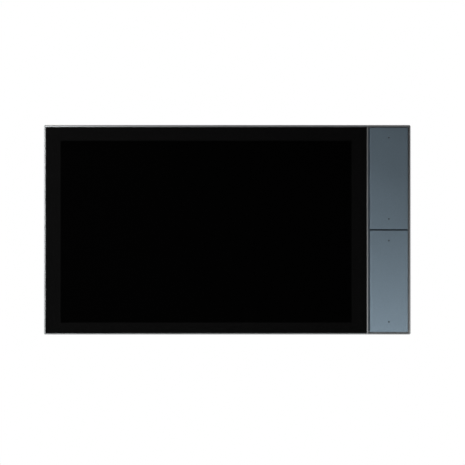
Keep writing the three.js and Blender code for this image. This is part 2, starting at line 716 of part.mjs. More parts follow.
// The rocker under the facing: a ribbed plate with a pivot pin on each side.
function keyRocker() {
  const halfWidth = ROCKER_WIDTH / 2;
  const halfHeight = KEY_HEIGHT / 2 - ROCKER_END_INSET;
  const zRange = [-halfHeight, halfHeight];
  const ribRear = ROCKER_REAR_Y + ROCKER_RIB_DEPTH;
  const sides = [-1, 1].flatMap((side) => {
    const rib = side < 0 ? [-halfWidth, -halfWidth + ROCKER_RIB] : [halfWidth - ROCKER_RIB, halfWidth];
    const pin = side < 0
      ? [-halfWidth - PIVOT_REACH, -halfWidth + 0.2]
      : [halfWidth - 0.2, halfWidth + PIVOT_REACH];
    return [
      box(rib, [ROCKER_REAR_Y - 0.1, ribRear], zRange),
      box(rib, [ROCKER_REAR_Y - 0.1, PIVOT_Y + PIVOT_RADIUS + 0.1], [-3, 3]),
      rod('X', PIVOT_RADIUS, pin, [PIVOT_Y, 0]),
    ];
  });
  const board = box([-halfWidth, halfWidth], [ROCKER_FRONT_Y, ROCKER_REAR_Y], zRange);
  const holes = ends.map(([, sign]) =>
    rod('Y', 0.95, [FRONT_Y, CARRIER_REAR_Y], [0, sign * LIGHT_PIPE_LEVER], 12));
  return cut(join(board, ...sides), ...holes);
}

// A stepped clear rod: its thin end shows in the facing.
function lightPipe() {
  return turned([
    [0, GLASS_FRONT_Y + 0.05],
    [0.4, GLASS_FRONT_Y + 0.05],
    [0.4, KEY_FACE_REAR_Y + 0.15],
    [0.8, KEY_FACE_REAR_Y + 0.15],
    [0.8, -19.4],
    [0, -19.4],
  ], 12);
}

const SWITCH_Y = [-KEY_BOARD_FRONT - 0.05 - SWITCH_HEIGHT, -KEY_BOARD_FRONT - 0.05];
const PLUNGER_TIP_Y = ROCKER_REAR_Y + PLUNGER_CLEARANCE;

// A square tactile switch with a round well for its plunger.
function keySwitch() {
  const half = SWITCH_SIZE / 2;
  return cut(
    box([-half, half], SWITCH_Y, [-half, half]),
    rod('Y', PLUNGER_RADIUS + 0.15, [SWITCH_Y[0] - 1, SWITCH_Y[0] + 1.7], [0, 0]),
  );
}

function switchPlunger() {
  return turned([
    [0, PLUNGER_TIP_Y],
    [PLUNGER_RADIUS - 0.3, PLUNGER_TIP_Y],
    [PLUNGER_RADIUS, PLUNGER_TIP_Y + 0.3],
    [PLUNGER_RADIUS, SWITCH_Y[0] + 1.1],
    [0, SWITCH_Y[0] + 1.1],
  ], ROUND_SIDES);
}

keys.forEach(([key, z]) => {
  addPiece(`key_face_${key}`, keyFace(), 'slate', [KEY_X, 0, z]);
  addPiece(`key_rocker_${key}`, keyRocker(), 'plastic', [KEY_X, 0, z]);
  ends.forEach(([end, sign]) => {
    const pipeZ = z + sign * LIGHT_PIPE_LEVER;
    const switchZ = z + sign * SWITCH_LEVER;
    addPiece(`light_pipe_${key}_${end}`, lightPipe(), 'clear', [KEY_X, 0, pipeZ]);
    addPiece(`key_switch_${key}_${end}`, keySwitch(), 'chip', [KEY_X, 0, switchZ]);
    addPiece(`switch_plunger_${key}_${end}`, switchPlunger(), 'chip', [KEY_X, 0, switchZ]);
  });
});

// ---------------------------------------------------------------- key carrier and key board

const SIDE_TOP_Y = -23.1;
const INNER_TOP_Y = -21.3;
const CORNER_CLEAR_X = HOLLOW.x[1] - BOSS_SIZE - 0.4;
const CORNER_CLEAR_Z = HOLLOW.z[1] - BOSS_SIZE - 0.4;

// Space left free for the frame's two corner bosses behind the keys.
function cornerClearances() {
  return [-1, 1].map((side) => {
    const zRange = [CORNER_CLEAR_Z, HALF_HEIGHT].map((z) => side * z).sort((a, b) => a - b);
    return box([CORNER_CLEAR_X, HALF_WIDTH], [BOSS_FRONT_Y - 0.3, 0], zRange);
  });
}

// A tray with a cradle each side of each rocker for its pivot pins.
function keyCarrier() {
  const xRange = [CARRIER_LEFT, CARRIER_RIGHT];
  const zRange = shrink(HOLLOW.z, 0.1);
  const tray = cut(
    box(xRange, [INNER_TOP_Y, CARRIER_REAR_Y], zRange),
    box(shrink(xRange, CARRIER_WALL), [FRONT_Y, CARRIER_FLOOR_Y], shrink(zRange, CARRIER_WALL)),
  );
  const sideWall = box([CARRIER_LEFT, CARRIER_LEFT + CARRIER_WALL], [SIDE_TOP_Y, INNER_TOP_Y + 0.1], zRange);
  const crossWall = box(shrink(xRange, 0.2), [INNER_TOP_Y, CARRIER_FLOOR_Y + 0.1], [-0.35, 0.35]);
  const posts = screwHoles(KEY_BOARD_SCREW_PLACES, 2.0, [-20.4, CARRIER_FLOOR_Y + 0.1]);
  const postHoles = screwHoles(
    KEY_BOARD_SCREW_PLACES,
    KEY_BOARD_SCREW.shankRadius + THREAD_GAP,
    [-20.0, CARRIER_REAR_Y + 1],
  );
  const cradles = keys.flatMap(([, z]) => {
    const yRange = [INNER_TOP_Y, CARRIER_FLOOR_Y + 0.1];
    const zRange = [z - 3, z + 3];
    return [
      box([CARRIER_LEFT + 0.2, KEY_X - ROCKER_WIDTH / 2 - 0.2], yRange, zRange),
      box([KEY_X + ROCKER_WIDTH / 2 + 0.2, CARRIER_RIGHT - 0.2], yRange, zRange),
    ];
  });
  const sockets = keys.flatMap(([, z]) => {
    const span = [CARRIER_LEFT + CARRIER_WALL + 0.1, CARRIER_RIGHT - CARRIER_WALL - 0.1];
    const half = PIVOT_RADIUS * 0.88;
    return [
      rod('X', PIVOT_HOLE_RADIUS, span, [PIVOT_Y, z]),
      box(span, [FRONT_Y, PIVOT_Y], [z - half, z + half]),
    ];
  });
  const windows = keys.flatMap(([, z]) => ends.flatMap(([, sign]) => {
    const half = SWITCH_SIZE / 2 + 0.3;
    const centre = z + sign * SWITCH_LEVER;
    return [
      box([KEY_X - half, KEY_X + half], [CARRIER_FLOOR_Y - 1, 0], [centre - half, centre + half]),
      rod('Y', 1.6, [CARRIER_FLOOR_Y - 1, 0], [KEY_X, z + sign * LIGHT_PIPE_LEVER], 12),
    ];
  }));
  return cut(
    join(tray, sideWall, crossWall, ...posts, ...cradles),
    ...sockets,
    ...postHoles,
    ...windows,
    ...cornerClearances(),
  );
}

// The board behind the keys, with an indicator lamp under each light pipe and a rear connector.
function keyBoard() {
  const board = box([CARRIER_LEFT + 0.8, CARRIER_RIGHT - 0.8], KEY_BOARD_Y, [-57.5, 57.5]);
  const lamps = keys.flatMap(([, z]) => ends.map(([, sign]) => {
    const centre = z + sign * LIGHT_PIPE_LEVER;
    const yRange = [KEY_BOARD_Y[0] - 0.6, KEY_BOARD_Y[0] + 0.1];
    return box([KEY_X - 0.8, KEY_X + 0.8], yRange, [centre - 0.4, centre + 0.4]);
  }));
  const connector = box([KEY_X - 0.8, KEY_X + 4], [KEY_BOARD_Y[1] - 0.1, KEY_BOARD_Y[1] + 1.2], [7.5, 20.5]);
  const holes = screwHoles(
    KEY_BOARD_SCREW_PLACES,
    KEY_BOARD_SCREW.shankRadius + SCREW_HOLE_GAP,
    [KEY_BOARD_Y[0] - 1, KEY_BOARD_Y[1] + 1],
  );
  return cut(join(board, ...lamps, connector), ...holes, ...cornerClearances());
}

addPiece('key_carrier', keyCarrier(), 'carrier');
addPiece('key_board', keyBoard(), 'board');
addScrews('key_board_screw', KEY_BOARD_SCREW, KEY_BOARD_Y[1] + 0.02, KEY_BOARD_SCREW_PLACES);

// ---------------------------------------------------------------- rear cover

// Rows of slots through the cover: over the speaker, beside the bracket and along the top.
function coverSlots() {
  const backY = [COVER_INSIDE_Y - 1, 0];
  const slots = [];
  for (let row = -3; row <= 3; row += 1) {
    const soundZ = SPEAKER_Z + row * 4;
    const ventZ = row * 5;
    slots.push(box([SPEAKER_X - 11, SPEAKER_X + 11], backY, [soundZ - 0.8, soundZ + 0.8]));
    slots.push(box([70, 88], backY, [ventZ - 0.9, ventZ + 0.9]));
  }
  for (let x = -39; x <= 39; x += 6) {
    slots.push(box([x - 1, x + 1], [-11, -5], [COVER_HALF_HEIGHT - COVER_WALL - 1, HALF_HEIGHT]));
  }
  return slots;
}

// The slots that the bracket's hooks and lock tab enter; each is tall enough to lift off.
function bracketSlots() {
  const backY = [COVER_INSIDE_Y - 0.01, 0];
  const halfWidth = HOOK_WIDTH / 2 + 0.5;
  const slots = [-HOOK_X, HOOK_X].flatMap((x) => HOOK_TOPS.map((top) =>
    box([x - halfWidth, x + halfWidth], backY, [top + 0.1 - HOOK_SLOT_HEIGHT, top + 0.1])));
  const lockHalf = LOCK_TAB_WIDTH / 2 + 1;
  slots.push(box([LOCK_X - lockHalf, LOCK_X + lockHalf], backY, [-46.8, LOCK_TAB_TOP + 0.3]));
  return slots;
}

function rearCover() {
  const flange = plate(shrink(HOLLOW.x, 0.3), FLANGE_Y, shrink(HOLLOW.z, 0.3), 0.5);
  const outline = roundedRectangle(
    shrink([-COVER_HALF_WIDTH, COVER_HALF_WIDTH], COVER_EDGE_ROUND),
    shrink([-COVER_HALF_HEIGHT, COVER_HALF_HEIGHT], COVER_EDGE_ROUND),
    COVER_CORNER_RADIUS - COVER_EDGE_ROUND,
  );
  const tubFront = FLANGE_Y[0] - 2 * COVER_EDGE_ROUND;
  const tub = extrude(outline, 'XZ', [tubFront, -COVER_BACK - COVER_EDGE_ROUND], {
    bevelEnabled: true,
    bevelSegments: 3,
    bevelSize: COVER_EDGE_ROUND,
    bevelThickness: COVER_EDGE_ROUND,
  });
  const inFront = box([-HALF_WIDTH, HALF_WIDTH], [-DEPTH, FLANGE_Y[0] + 0.5], [-HALF_HEIGHT, HALF_HEIGHT]);
  const trimmed = cut(tub, inFront);
  const cavity = plate(
    shrink([-COVER_HALF_WIDTH, COVER_HALF_WIDTH], COVER_WALL),
    [-DEPTH, COVER_INSIDE_Y],
    shrink([-COVER_HALF_HEIGHT, COVER_HALF_HEIGHT], COVER_WALL),
    COVER_CORNER_RADIUS - COVER_WALL,
  );
  const recessBlocks = RECESS_LEVELS.map(({ floor, top }) => box(
    shrink(RECESS_X, -RECESS_WALL),
    [-floor - RECESS_WALL, COVER_INSIDE_Y + 0.1],
    shrink([RECESS_BOTTOM, top], -RECESS_WALL),
  ));
  const recessHollows = RECESS_LEVELS.map(({ floor, top }) =>
    box(RECESS_X, [-floor, 0], [RECESS_BOTTOM, top]));
  const shell = join(cut(join(flange, trimmed), cavity), ...recessBlocks);
  const flangeHoles = screwHoles(
    COVER_SCREW_PLACES,
    COVER_SCREW.shankRadius + SCREW_HOLE_GAP,
    [FLANGE_Y[0] - 1, FLANGE_Y[1] + 1],
  );
  return cut(
    shell,
    ...recessHollows,
    box(shrink(JACK_X, -0.5), [-DEPTH, 0], [RECESS_STEP_Z - 0.1, JACK_Z[1] + 0.5]),
    box(shrink(TERMINAL_X, -0.5), [-DEPTH, 0], shrink(TERMINAL_Z, -0.5)),
    rod('X', RESET_RADIUS + 0.2, [COVER_HALF_WIDTH - COVER_WALL - 1, HALF_WIDTH], [RESET_Y, RESET_Z]),
    rod('Z', LOCK_SCREW.shankRadius + 0.2, [-COVER_HALF_HEIGHT - 1, -44], [LOCK_X, LOCK_Y], SCREW_SIDES),
    ...flangeHoles,
    ...coverSlots(),
    ...bracketSlots(),
  );
}

// A stemmed button in the cover's side wall, with a collar behind the wall.
function resetButton() {
  const inside = COVER_HALF_WIDTH - COVER_WALL;
  return join(
    rod('X', RESET_RADIUS, [inside - 3.0, COVER_HALF_WIDTH + 0.3], [RESET_Y, RESET_Z]),
    rod('X', RESET_RADIUS + 0.7, [inside - 1.2, inside - 0.2], [RESET_Y, RESET_Z]),
  );
}

// A side-pressed switch at the board's edge, facing the button's stem.
function resetSwitch() {
  const bodyY = [BOARD_Y[1] + 0.02, BOARD_Y[1] + 3.6];
  const nibY = [RESET_Y - 0.8, RESET_Y + 0.8];
  return join(
    box([BOARD_RIGHT - 4.5, BOARD_RIGHT], bodyY, [RESET_Z - 3, RESET_Z + 3]),
    box([BOARD_RIGHT - 0.1, BOARD_RIGHT + 1.2], nibY, [RESET_Z - 1.2, RESET_Z + 1.2]),
  );
}

addPiece('rear_cover', rearCover(), 'plastic');
addScrews('rear_cover_screw', COVER_SCREW, FLANGE_Y[1] + 0.02, COVER_SCREW_PLACES);
addPiece('reset_button', resetButton(), 'chip');
addPiece('reset_switch', resetSwitch(), 'chip');

// ---------------------------------------------------------------- wall bracket

// One hook bent out of the plate: it reaches into the cover and then turns up.
function hook(x, top) {
  const xRange = [x - HOOK_WIDTH / 2, x + HOOK_WIDTH / 2];
  const reachY = -HOOK_REACH - BRACKET_THICKNESS;
  return join(
    box(xRange, [reachY, -0.2], [top - BRACKET_THICKNESS, top]),
    box(xRange, [reachY, -HOOK_REACH], [top - BRACKET_THICKNESS, top + HOOK_TIP_HEIGHT]),
  );
}

// A slot for a wall screw.
function screwSlot(x, z, xLength, zLength) {
  return plate(
    [x - xLength / 2, x + xLength / 2],
    [-BRACKET_THICKNESS - 1, 1],
    [z - zLength / 2, z + zLength / 2],
    SCREW_SLOT_WIDTH / 2 - 0.01,
  );
}

function wallBracket() {
  const sheetY = [-BRACKET_THICKNESS, 0];
  const cutY = [-BRACKET_THICKNESS - 1, 1];
  const sheet = plate(
    [-BRACKET_HALF_WIDTH, BRACKET_HALF_WIDTH],
    sheetY,
    [-BRACKET_HALF_HEIGHT, BRACKET_HALF_HEIGHT],
    BRACKET_CORNER_RADIUS,
  );
  const relief = 0.6;
  const lanced = [-HOOK_X, HOOK_X].flatMap((x) => HOOK_TOPS.map((top) =>
    box([x - HOOK_WIDTH / 2 - relief, x + HOOK_WIDTH / 2 + relief], cutY, [top, top + 9])));
  const hooks = [-HOOK_X, HOOK_X].flatMap((x) => HOOK_TOPS.map((top) => hook(x, top)));
  const lockX = [LOCK_X - LOCK_TAB_WIDTH / 2, LOCK_X + LOCK_TAB_WIDTH / 2];
  const lockTab = box(lockX, [-LOCK_TAB_REACH, -0.2], [LOCK_TAB_TOP - BRACKET_THICKNESS, LOCK_TAB_TOP]);
  const lockHole = rod(
    'Z',
    LOCK_SCREW.shankRadius + 0.2,
    [LOCK_TAB_TOP - 3, LOCK_TAB_TOP + 1],
    [LOCK_X, LOCK_Y],
    SCREW_SIDES,
  );
  const tools = [
    plate([-32, 46], cutY, [-40, -10], 3),
    plate([-40, 40], cutY, [14, 38], 3),
    ...lanced,
    box(shrink(lockX, -relief), cutY, [LOCK_TAB_TOP, LOCK_TAB_TOP + 7.5]),
    screwSlot(-WALL_BOX_SPACING / 2, 0, SCREW_SLOT_LENGTH, SCREW_SLOT_WIDTH),
    screwSlot(WALL_BOX_SPACING / 2, 0, SCREW_SLOT_LENGTH, SCREW_SLOT_WIDTH),
    ...[-60, 60].flatMap((x) => [-39, 39].map((z) => screwSlot(x, z, SCREW_SLOT_WIDTH, 7.0))),
  ];
  return cut(join(cut(sheet, ...tools), ...hooks, lockTab), lockHole);
}

addPiece('wall_bracket', wallBracket(), 'bracket');

// The lock screw goes in from below, so its axis is turned from Y to Z.
const lockScrew = screw(LOCK_SCREW).rotate([-90, 0, 0]);
addPiece('lock_screw', lockScrew, 'screw', [LOCK_X, LOCK_Y, -COVER_HALF_HEIGHT - 0.02]);

export default monitor;
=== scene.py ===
import math

import bmesh
import bpy
from bpy.props import FloatProperty, FloatVectorProperty, IntProperty, PointerProperty
from mathutils import Matrix, Vector


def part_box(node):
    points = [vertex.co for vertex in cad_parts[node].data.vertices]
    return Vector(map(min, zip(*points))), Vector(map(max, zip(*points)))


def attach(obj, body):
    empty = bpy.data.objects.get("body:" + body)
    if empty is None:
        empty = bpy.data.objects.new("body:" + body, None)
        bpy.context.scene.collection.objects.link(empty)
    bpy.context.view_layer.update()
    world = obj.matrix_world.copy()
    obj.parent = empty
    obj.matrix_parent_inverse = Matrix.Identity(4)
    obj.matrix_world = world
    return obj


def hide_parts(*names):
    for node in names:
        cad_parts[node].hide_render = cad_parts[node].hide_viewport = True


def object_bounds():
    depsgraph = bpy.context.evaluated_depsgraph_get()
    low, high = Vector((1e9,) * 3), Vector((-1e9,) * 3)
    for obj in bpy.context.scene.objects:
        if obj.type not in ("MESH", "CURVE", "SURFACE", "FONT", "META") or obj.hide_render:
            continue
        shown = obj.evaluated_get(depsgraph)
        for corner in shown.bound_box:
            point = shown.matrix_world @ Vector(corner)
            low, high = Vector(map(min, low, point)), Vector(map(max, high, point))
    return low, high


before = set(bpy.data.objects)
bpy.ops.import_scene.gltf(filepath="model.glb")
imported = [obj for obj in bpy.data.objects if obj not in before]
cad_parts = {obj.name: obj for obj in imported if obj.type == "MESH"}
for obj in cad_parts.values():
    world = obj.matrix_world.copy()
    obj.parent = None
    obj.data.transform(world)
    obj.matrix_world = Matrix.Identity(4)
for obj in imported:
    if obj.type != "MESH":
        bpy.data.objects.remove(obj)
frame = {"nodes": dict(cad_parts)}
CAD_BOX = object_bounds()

# A wall-hung video intercom monitor: a black touch display and two slate rocker keys in a
# thin-lipped aluminium frame, with a moulded rear cover on a sheet-steel wall bracket.
# Metres throughout. X is to the viewer's right, Z is up and the front faces -Y.

bl_info = {
    "name": "Video intercom monitor",
    "version": (1, 0, 0),
    "blender": (4, 5, 0),
    "location": "View3D > Sidebar > Intercom",
    "description": "Builds the fine shapes and finishes of a wall-hung video intercom monitor",
    "category": "Object",
}

MM = 0.001
NODES = frame["nodes"]
KEYS = ("upper", "lower")
ENDS = ("top", "bottom")

# The 8.0 inch display panel's active area, and how far its middle lies to the right of the
# backlight tray's middle and above it.
ACTIVE_WIDTH = 172.2 * MM
ACTIVE_HEIGHT = 107.64 * MM
ACTIVE_OFFSET_X = 0.15 * MM
ACTIVE_OFFSET_Z = 0.7 * MM
PRINT_SOFTNESS = 0.15 * MM

# Finishes: the slow patches in every grained surface, the smears on the glass, the board's
# tracks and weave, and how far past the board's face the colour of its soldered parts starts.
PATCH_SIZE = 28 * MM
SMEAR_SIZE = 35 * MM
TRACK_CELL = 12 * MM
WEAVE_SIZE = 2 * MM
BOARD_FACE_MARGIN = 0.05 * MM

# Meshes: what counts as one vertex, as one plane and as a sharp edge, and the steps in which
# edges and corners are rounded.
WELD_DISTANCE = 0.002 * MM
ON_AXIS = 1e-7
FLAT_ANGLE = math.radians(0.5)
EDGE_ANGLE = math.radians(30)
CREASE_ANGLE = math.radians(35)
EDGE_SEGMENTS = 2
CORNER_STEPS = 6
PLATE_EDGE_STEPS = 4
PLATE_REAR_EDGE = 0.05 * MM

# Rounding of the smaller pieces' edges.
ROCKER_EDGE = 0.15 * MM
CARRIER_EDGE = 0.06 * MM
SWITCH_EDGE = 0.12 * MM
SOCKET_EDGE = 0.2 * MM
TERMINAL_EDGE = 0.18 * MM
HEAT_SINK_EDGE = 0.1 * MM
SPEAKER_EDGE = 0.2 * MM
RIBBON_EDGE = 0.1 * MM

# Light pipes in the keys.
PIPE_CLEARANCE = 0.08 * MM
PIPE_FLARE = 0.1 * MM
PIPE_SHOULDER = 0.8 * MM
PIPE_STEP_GAP = 0.15 * MM

# Reset button: distances back from its outer end.
BUTTON_WALL_DEPTH = 2.3 * MM
BUTTON_COLLAR_REACH = 0.7 * MM

# Network socket: eight contact wires, placed from its lowest corner.
CONTACT_COUNT = 8
CONTACT_PITCH = 1.02 * MM
CONTACT_BAR = (0.38 * MM, 0.3 * MM, 6.5 * MM)
CONTACT_DEPTH = 2.6 * MM
CONTACT_HEIGHT = 6.0 * MM

# Screw terminal: its poles, and the clamp screw in each one's well.
POLES = 8
CLAMP_RADIUS = 1.45 * MM
CLAMP_LENGTH = 1.4 * MM
CLAMP_SINK = 0.5 * MM
CLAMP_HEIGHT = 6.0 * MM
CLAMP_SLOT = 0.25 * MM

# Chip capacitors: two rows of twelve above the processor.
CAPACITOR_ROWS = (8 * MM, 11 * MM)
CAPACITOR_COUNT = 12
CAPACITOR_PITCH = 2.2 * MM
CAPACITOR_BAR = (0.8 * MM, 0.5 * MM, 1.6 * MM)
CAPACITOR_START = 6 * MM

# Screws: how many of each, and their sides round.
SCREW_GROUPS = (
    ("rear_cover_screw", 6), ("mid_plate_screw", 4), ("main_board_screw", 4),
    ("key_board_screw", 2),
)
SCREW_SIDES = 24

# Stage.
VIEW_CENTRE_X = 3.11 * MM
VIEW_CENTRE_Z = -1.63 * MM
VIEW_REACH = 50.0
FLOOR_RADIUS = 3.2
FLOOR_SIDES = 96
ROOM_LIGHT = 0.7
FLOOR_LAMP_SPREAD = math.radians(90)


# ------------------------------------------------------------------ colours and user settings

def linear(hex_colour):
    """An sRGB hex colour as linear red, green, blue and alpha."""
    channels = [int(hex_colour[i:i + 2], 16) / 255 for i in (1, 3, 5)]
    curve = [c / 12.92 if c <= 0.04045 else ((c + 0.055) / 1.055) ** 2.4 for c in channels]
    return (*curve, 1.0)


def colour_property(name, description, hex_colour):
    """A colour that the user can change, given as sRGB hex."""
    return FloatVectorProperty(
        name=name, description=description, default=linear(hex_colour)[:3],
        subtype="COLOR", size=3, min=0.0, max=1.0,
    )


def length_property(name, description, millimetres):
    """A length that the user can change, given in millimetres."""
    return FloatProperty(
        name=name, description=description, default=millimetres * MM,
        subtype="DISTANCE", unit="LENGTH", min=0.0, precision=5,
    )


class IntercomColours(bpy.types.PropertyGroup):
    """Colours of the monitor's visible finishes."""

    frame: colour_property("Frame", "Clear-anodised aluminium of the front frame", "#8D8F90")
    keys: colour_property("Keys", "Slate-anodised aluminium of the two keys", "#788894")
    # The carrier's slate is set far darker than the keys', near the colour the gaps show: part of
    # it is painted shade for the gaps round the keys.
    carrier: colour_property("Carrier", "Slate paint in the gaps round the keys", "#3A4955")
    ink: colour_property("Ink", "Black ink printed behind the cover glass", "#0B0B0B")
    display: colour_property("Display", "The display, switched off", "#020202")
    cover: colour_property("Cover", "Moulded rear cover", "#232527")
    bracket: colour_property("Bracket", "Powder coat of the wall bracket", "#3B3E41")
    terminal: colour_property("Terminal", "Moulded body of the screw terminal", "#2C8A55")
    floor: colour_property("Floor", "Studio floor", "#F4F4F3")


class IntercomSizes(bpy.types.PropertyGroup):
    """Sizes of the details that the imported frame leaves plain."""

    frame_edge: length_property("Frame edge", "Rounding of the machined frame's edges", 0.08)
    glass_edge: length_property("Glass edge", "Polished rounding of the cover glass", 0.18)
    glass_corner: length_property("Glass corner", "Corner radius of the cover glass", 0.4)
    key_edge: length_property("Key edge", "Rounding round each key's facing", 0.12)
    key_corner: length_property("Key corner", "Corner radius of each key's facing", 0.5)
    pipe_radius: length_property("Light pipe", "Radius of a light pipe's visible end", 0.36)
    cover_edge: length_property("Cover edge", "Rounding of the moulded cover's edges", 0.3)
    bracket_edge: length_property("Bracket edge", "Rounding of the coated bracket's edges", 0.22)
    view_width: length_property("View width", "Width of the view at the monitor's front", 275.3)
    view_distance: length_property("View distance", "Camera to the monitor's front", 6000.0)
    floor_drop: length_property("Floor drop", "Monitor's centre above the floor", 450.0)
    seed: IntProperty(name="Seed", description="Seed of every random turn", default=7, min=0)


def colours(name):
    """One of the user's colours, with full alpha."""
    return (*getattr(bpy.context.scene.intercom_colours, name), 1.0)


def sizes():
    """The user's sizes."""
    return bpy.context.scene.intercom_sizes


# ------------------------------------------------------------------ node helper

def add_node(tree, kind, settings=None, inputs=None):
    """Adds one node: settings are its properties, and inputs are values or sockets to link from."""
    node = tree.nodes.new(kind)
    for name, value in (settings or {}).items():
        setattr(node, name, value)
    for name, value in (inputs or {}).items():
        if isinstance(value, bpy.types.NodeSocket):
            tree.links.new(value, node.inputs[name])
        else:
            node.inputs[name].default_value = value
    return node


def shade_of(colour, factor):
    """The colour made darker or lighter by a factor."""
    return (*[min(c * factor, 1.0) for c in colour[:3]], 1.0)


# ------------------------------------------------------------------ finishes

def start_finish(name, metallic=0.0, ior=None):
    """A new material with a Principled shader, and the Object coordinates that it reads."""
    material = bpy.data.materials.new(name)
    material.use_nodes = True
    tree = material.node_tree
    shader = tree.nodes["Principled BSDF"]
    shader.inputs["Metallic"].default_value = metallic
    if ior is not None:
        shader.inputs["IOR"].default_value = ior
    place = add_node(tree, "ShaderNodeTexCoord").outputs["Object"]
    return material, tree, shader, place


def grained(name, colour, grain, roughness, depth, spread=0.06, drift=0.03,
            metallic=0.0, ior=None, stretch=(1.0, 1.0, 1.0)):
    """A surface of fine grain. grain and depth are metres: the grain's width and its relief.
    Blasted, plated, rolled and moulded surfaces really have a grain of about 0.1 mm or less,
    which is drawn 0.2 to 0.7 mm wide so that it shows. spread is how far the colour varies with
    the grain, and drift how far it and the roughness vary over the whole piece. stretch draws
    the grain out along an axis, as brushing does."""
    material, tree, shader, place = start_finish(name, metallic, ior)
    turned = add_node(tree, "ShaderNodeMapping", inputs={"Vector": place, "Scale": stretch})
    fine = add_node(tree, "ShaderNodeTexNoise", inputs={
        "Vector": turned.outputs["Vector"], "Scale": 1 / grain, "Detail": 3.0, "Roughness": 0.6,
    })
    broad = add_node(tree, "ShaderNodeTexNoise", inputs={
        "Vector": place, "Scale": 1 / PATCH_SIZE, "Detail": 2.0,
    })
    speckled = add_node(tree, "ShaderNodeMix", {"data_type": "RGBA"}, {
        0: fine.outputs["Fac"],
        6: shade_of(colour, 1 - spread),
        7: shade_of(colour, 1 + spread),
    })
    worn = add_node(tree, "ShaderNodeMix", {"data_type": "RGBA", "blend_type": "MULTIPLY"}, {
        0: broad.outputs["Fac"],
        6: speckled.outputs[2],
        7: (1 - drift, 1 - drift, 1 - drift, 1.0),
    })
    dull = add_node(tree, "ShaderNodeMapRange", inputs={
        "Value": broad.outputs["Fac"], "From Min": 0.3, "From Max": 0.7,
        "To Min": roughness * (1 - 2 * drift), "To Max": roughness * (1 + 2 * drift),
    })
    relief = add_node(tree, "ShaderNodeBump", inputs={
        "Height": fine.outputs["Fac"], "Distance": depth, "Strength": 1.0,
    })
    tree.links.new(worn.outputs[2], shader.inputs["Base Color"])
    tree.links.new(dull.outputs["Result"], shader.inputs["Roughness"])
    tree.links.new(relief.outputs["Normal"], shader.inputs["Normal"])
    return material


def clear_anodised():
    """Bead-blasted aluminium, clear anodised: an even grey sheen with no brush lines."""
    return grained("aluminium_blasted_clear_anodised", colours("frame"), 0.45 * MM, 0.42,
                   0.004 * MM, spread=0.05, metallic=1.0)


def slate_anodised():
    """Bead-blasted aluminium, dyed slate blue: a soft sheen with a fine sparkle. The real grit
    is about 0.1 mm, and is drawn near 0.6 mm wide so that its speckle shows at arm's length."""
    return grained("aluminium_blasted_slate_anodised", colours("keys"), 0.6 * MM, 0.42,
                   0.008 * MM, spread=0.13, drift=0.02, metallic=1.0)


def slate_paint_and_gap_shade():
    """Moulded polycarbonate, painted in the keys' slate hue: the dull slate edge beside them. Its
    slate is set far darker than the keys', which paints in part of the shade that falls in the gaps
    round them.
    """
    return grained("polycarbonate_painted_slate", colours("carrier"), 0.5 * MM, 0.55,
                   0.01 * MM, ior=1.58)


def printed_glass():
    """Toughened glass with black ink behind its border and the dark display behind the rest.
    The ink is a shade lighter than the unlit display, which is what shows the screen's edge."""
    material, tree, shader, place = start_finish("glass_toughened_printed_black", ior=1.52)
    active_low, active_high = active_area()
    centre = (active_low + active_high) / 2
    half = (active_high - active_low) / 2
    centred = add_node(tree, "ShaderNodeMapping", inputs={"Vector": place, "Location": -centre})
    split = add_node(tree, "ShaderNodeSeparateXYZ", inputs={"Vector": centred.outputs["Vector"]})
    outside = []
    for axis, reach in (("X", half.x), ("Z", half.z)):
        distance = add_node(tree, "ShaderNodeMath", {"operation": "ABSOLUTE"},
                            {0: split.outputs[axis]})
        outside.append(add_node(tree, "ShaderNodeMapRange", {"interpolation_type": "SMOOTHSTEP"}, {
            "Value": distance.outputs[0],
            "From Min": reach - PRINT_SOFTNESS, "From Max": reach + PRINT_SOFTNESS,
        }).outputs["Result"])
    border = add_node(tree, "ShaderNodeMath", {"operation": "MAXIMUM"},
                      {0: outside[0], 1: outside[1]})
    black = add_node(tree, "ShaderNodeMix", {"data_type": "RGBA"}, {
        0: border.outputs[0], 6: colours("display"), 7: colours("ink"),
    })
    handling = add_node(tree, "ShaderNodeTexNoise", inputs={
        "Vector": place, "Scale": 1 / SMEAR_SIZE, "Detail": 4.0, "Roughness": 0.65,
    })
    polish = add_node(tree, "ShaderNodeMapRange", inputs={
        "Value": handling.outputs["Fac"], "From Min": 0.35, "From Max": 0.75,
        "To Min": 0.025, "To Max": 0.07,
    })
    tree.links.new(black.outputs[2], shader.inputs["Base Color"])
    tree.links.new(polish.outputs["Result"], shader.inputs["Roughness"])
    return material


def active_area():
    """Lowest and highest corner of the display's active area."""
    low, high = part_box("backlight_tray")
    half = Vector((ACTIVE_WIDTH, 0.0, ACTIVE_HEIGHT)) / 2
    centre = (low + high) / 2 + Vector((ACTIVE_OFFSET_X, 0.0, ACTIVE_OFFSET_Z))
    return centre - half, centre + half


def moulded_abs():
    """ABS with a fine spark-eroded texture: near-black, with a dry, even grain."""
    return grained("abs_moulded_spark_eroded", colours("cover"), 0.7 * MM, 0.52,
                   0.05 * MM, spread=0.12, drift=0.04, ior=1.54)


def powder_coat():
    """Polyester powder coat on steel: a slightly rippled, tough skin over the sheet."""
    return grained("steel_powder_coated", colours("bracket"), 1.1 * MM, 0.42,
                   0.05 * MM, spread=0.05, drift=0.05, ior=1.5)


def blackened_zinc():
    """Steel screws, zinc plated and blackened: dark, with a satin metal shine."""
    return grained("steel_black_zinc_plated", linear("#5B5D61"), 0.25 * MM, 0.36,
                   0.006 * MM, spread=0.1, metallic=1.0)


def nickel_plate():
    """Nickel-plated brass sheet: warm, bright metal with faint drawing lines."""
    return grained("brass_nickel_plated", linear("#BDB9AE"), 0.3 * MM, 0.27,
                   0.004 * MM, metallic=1.0, stretch=(1.0, 1.0, 0.08))


def gold_contact():
    """Gold-flashed phosphor bronze of the socket's contact wires."""
    return grained("bronze_gold_flashed", linear("#D8AE5C"), 0.2 * MM, 0.25,
                   0.002 * MM, metallic=1.0)


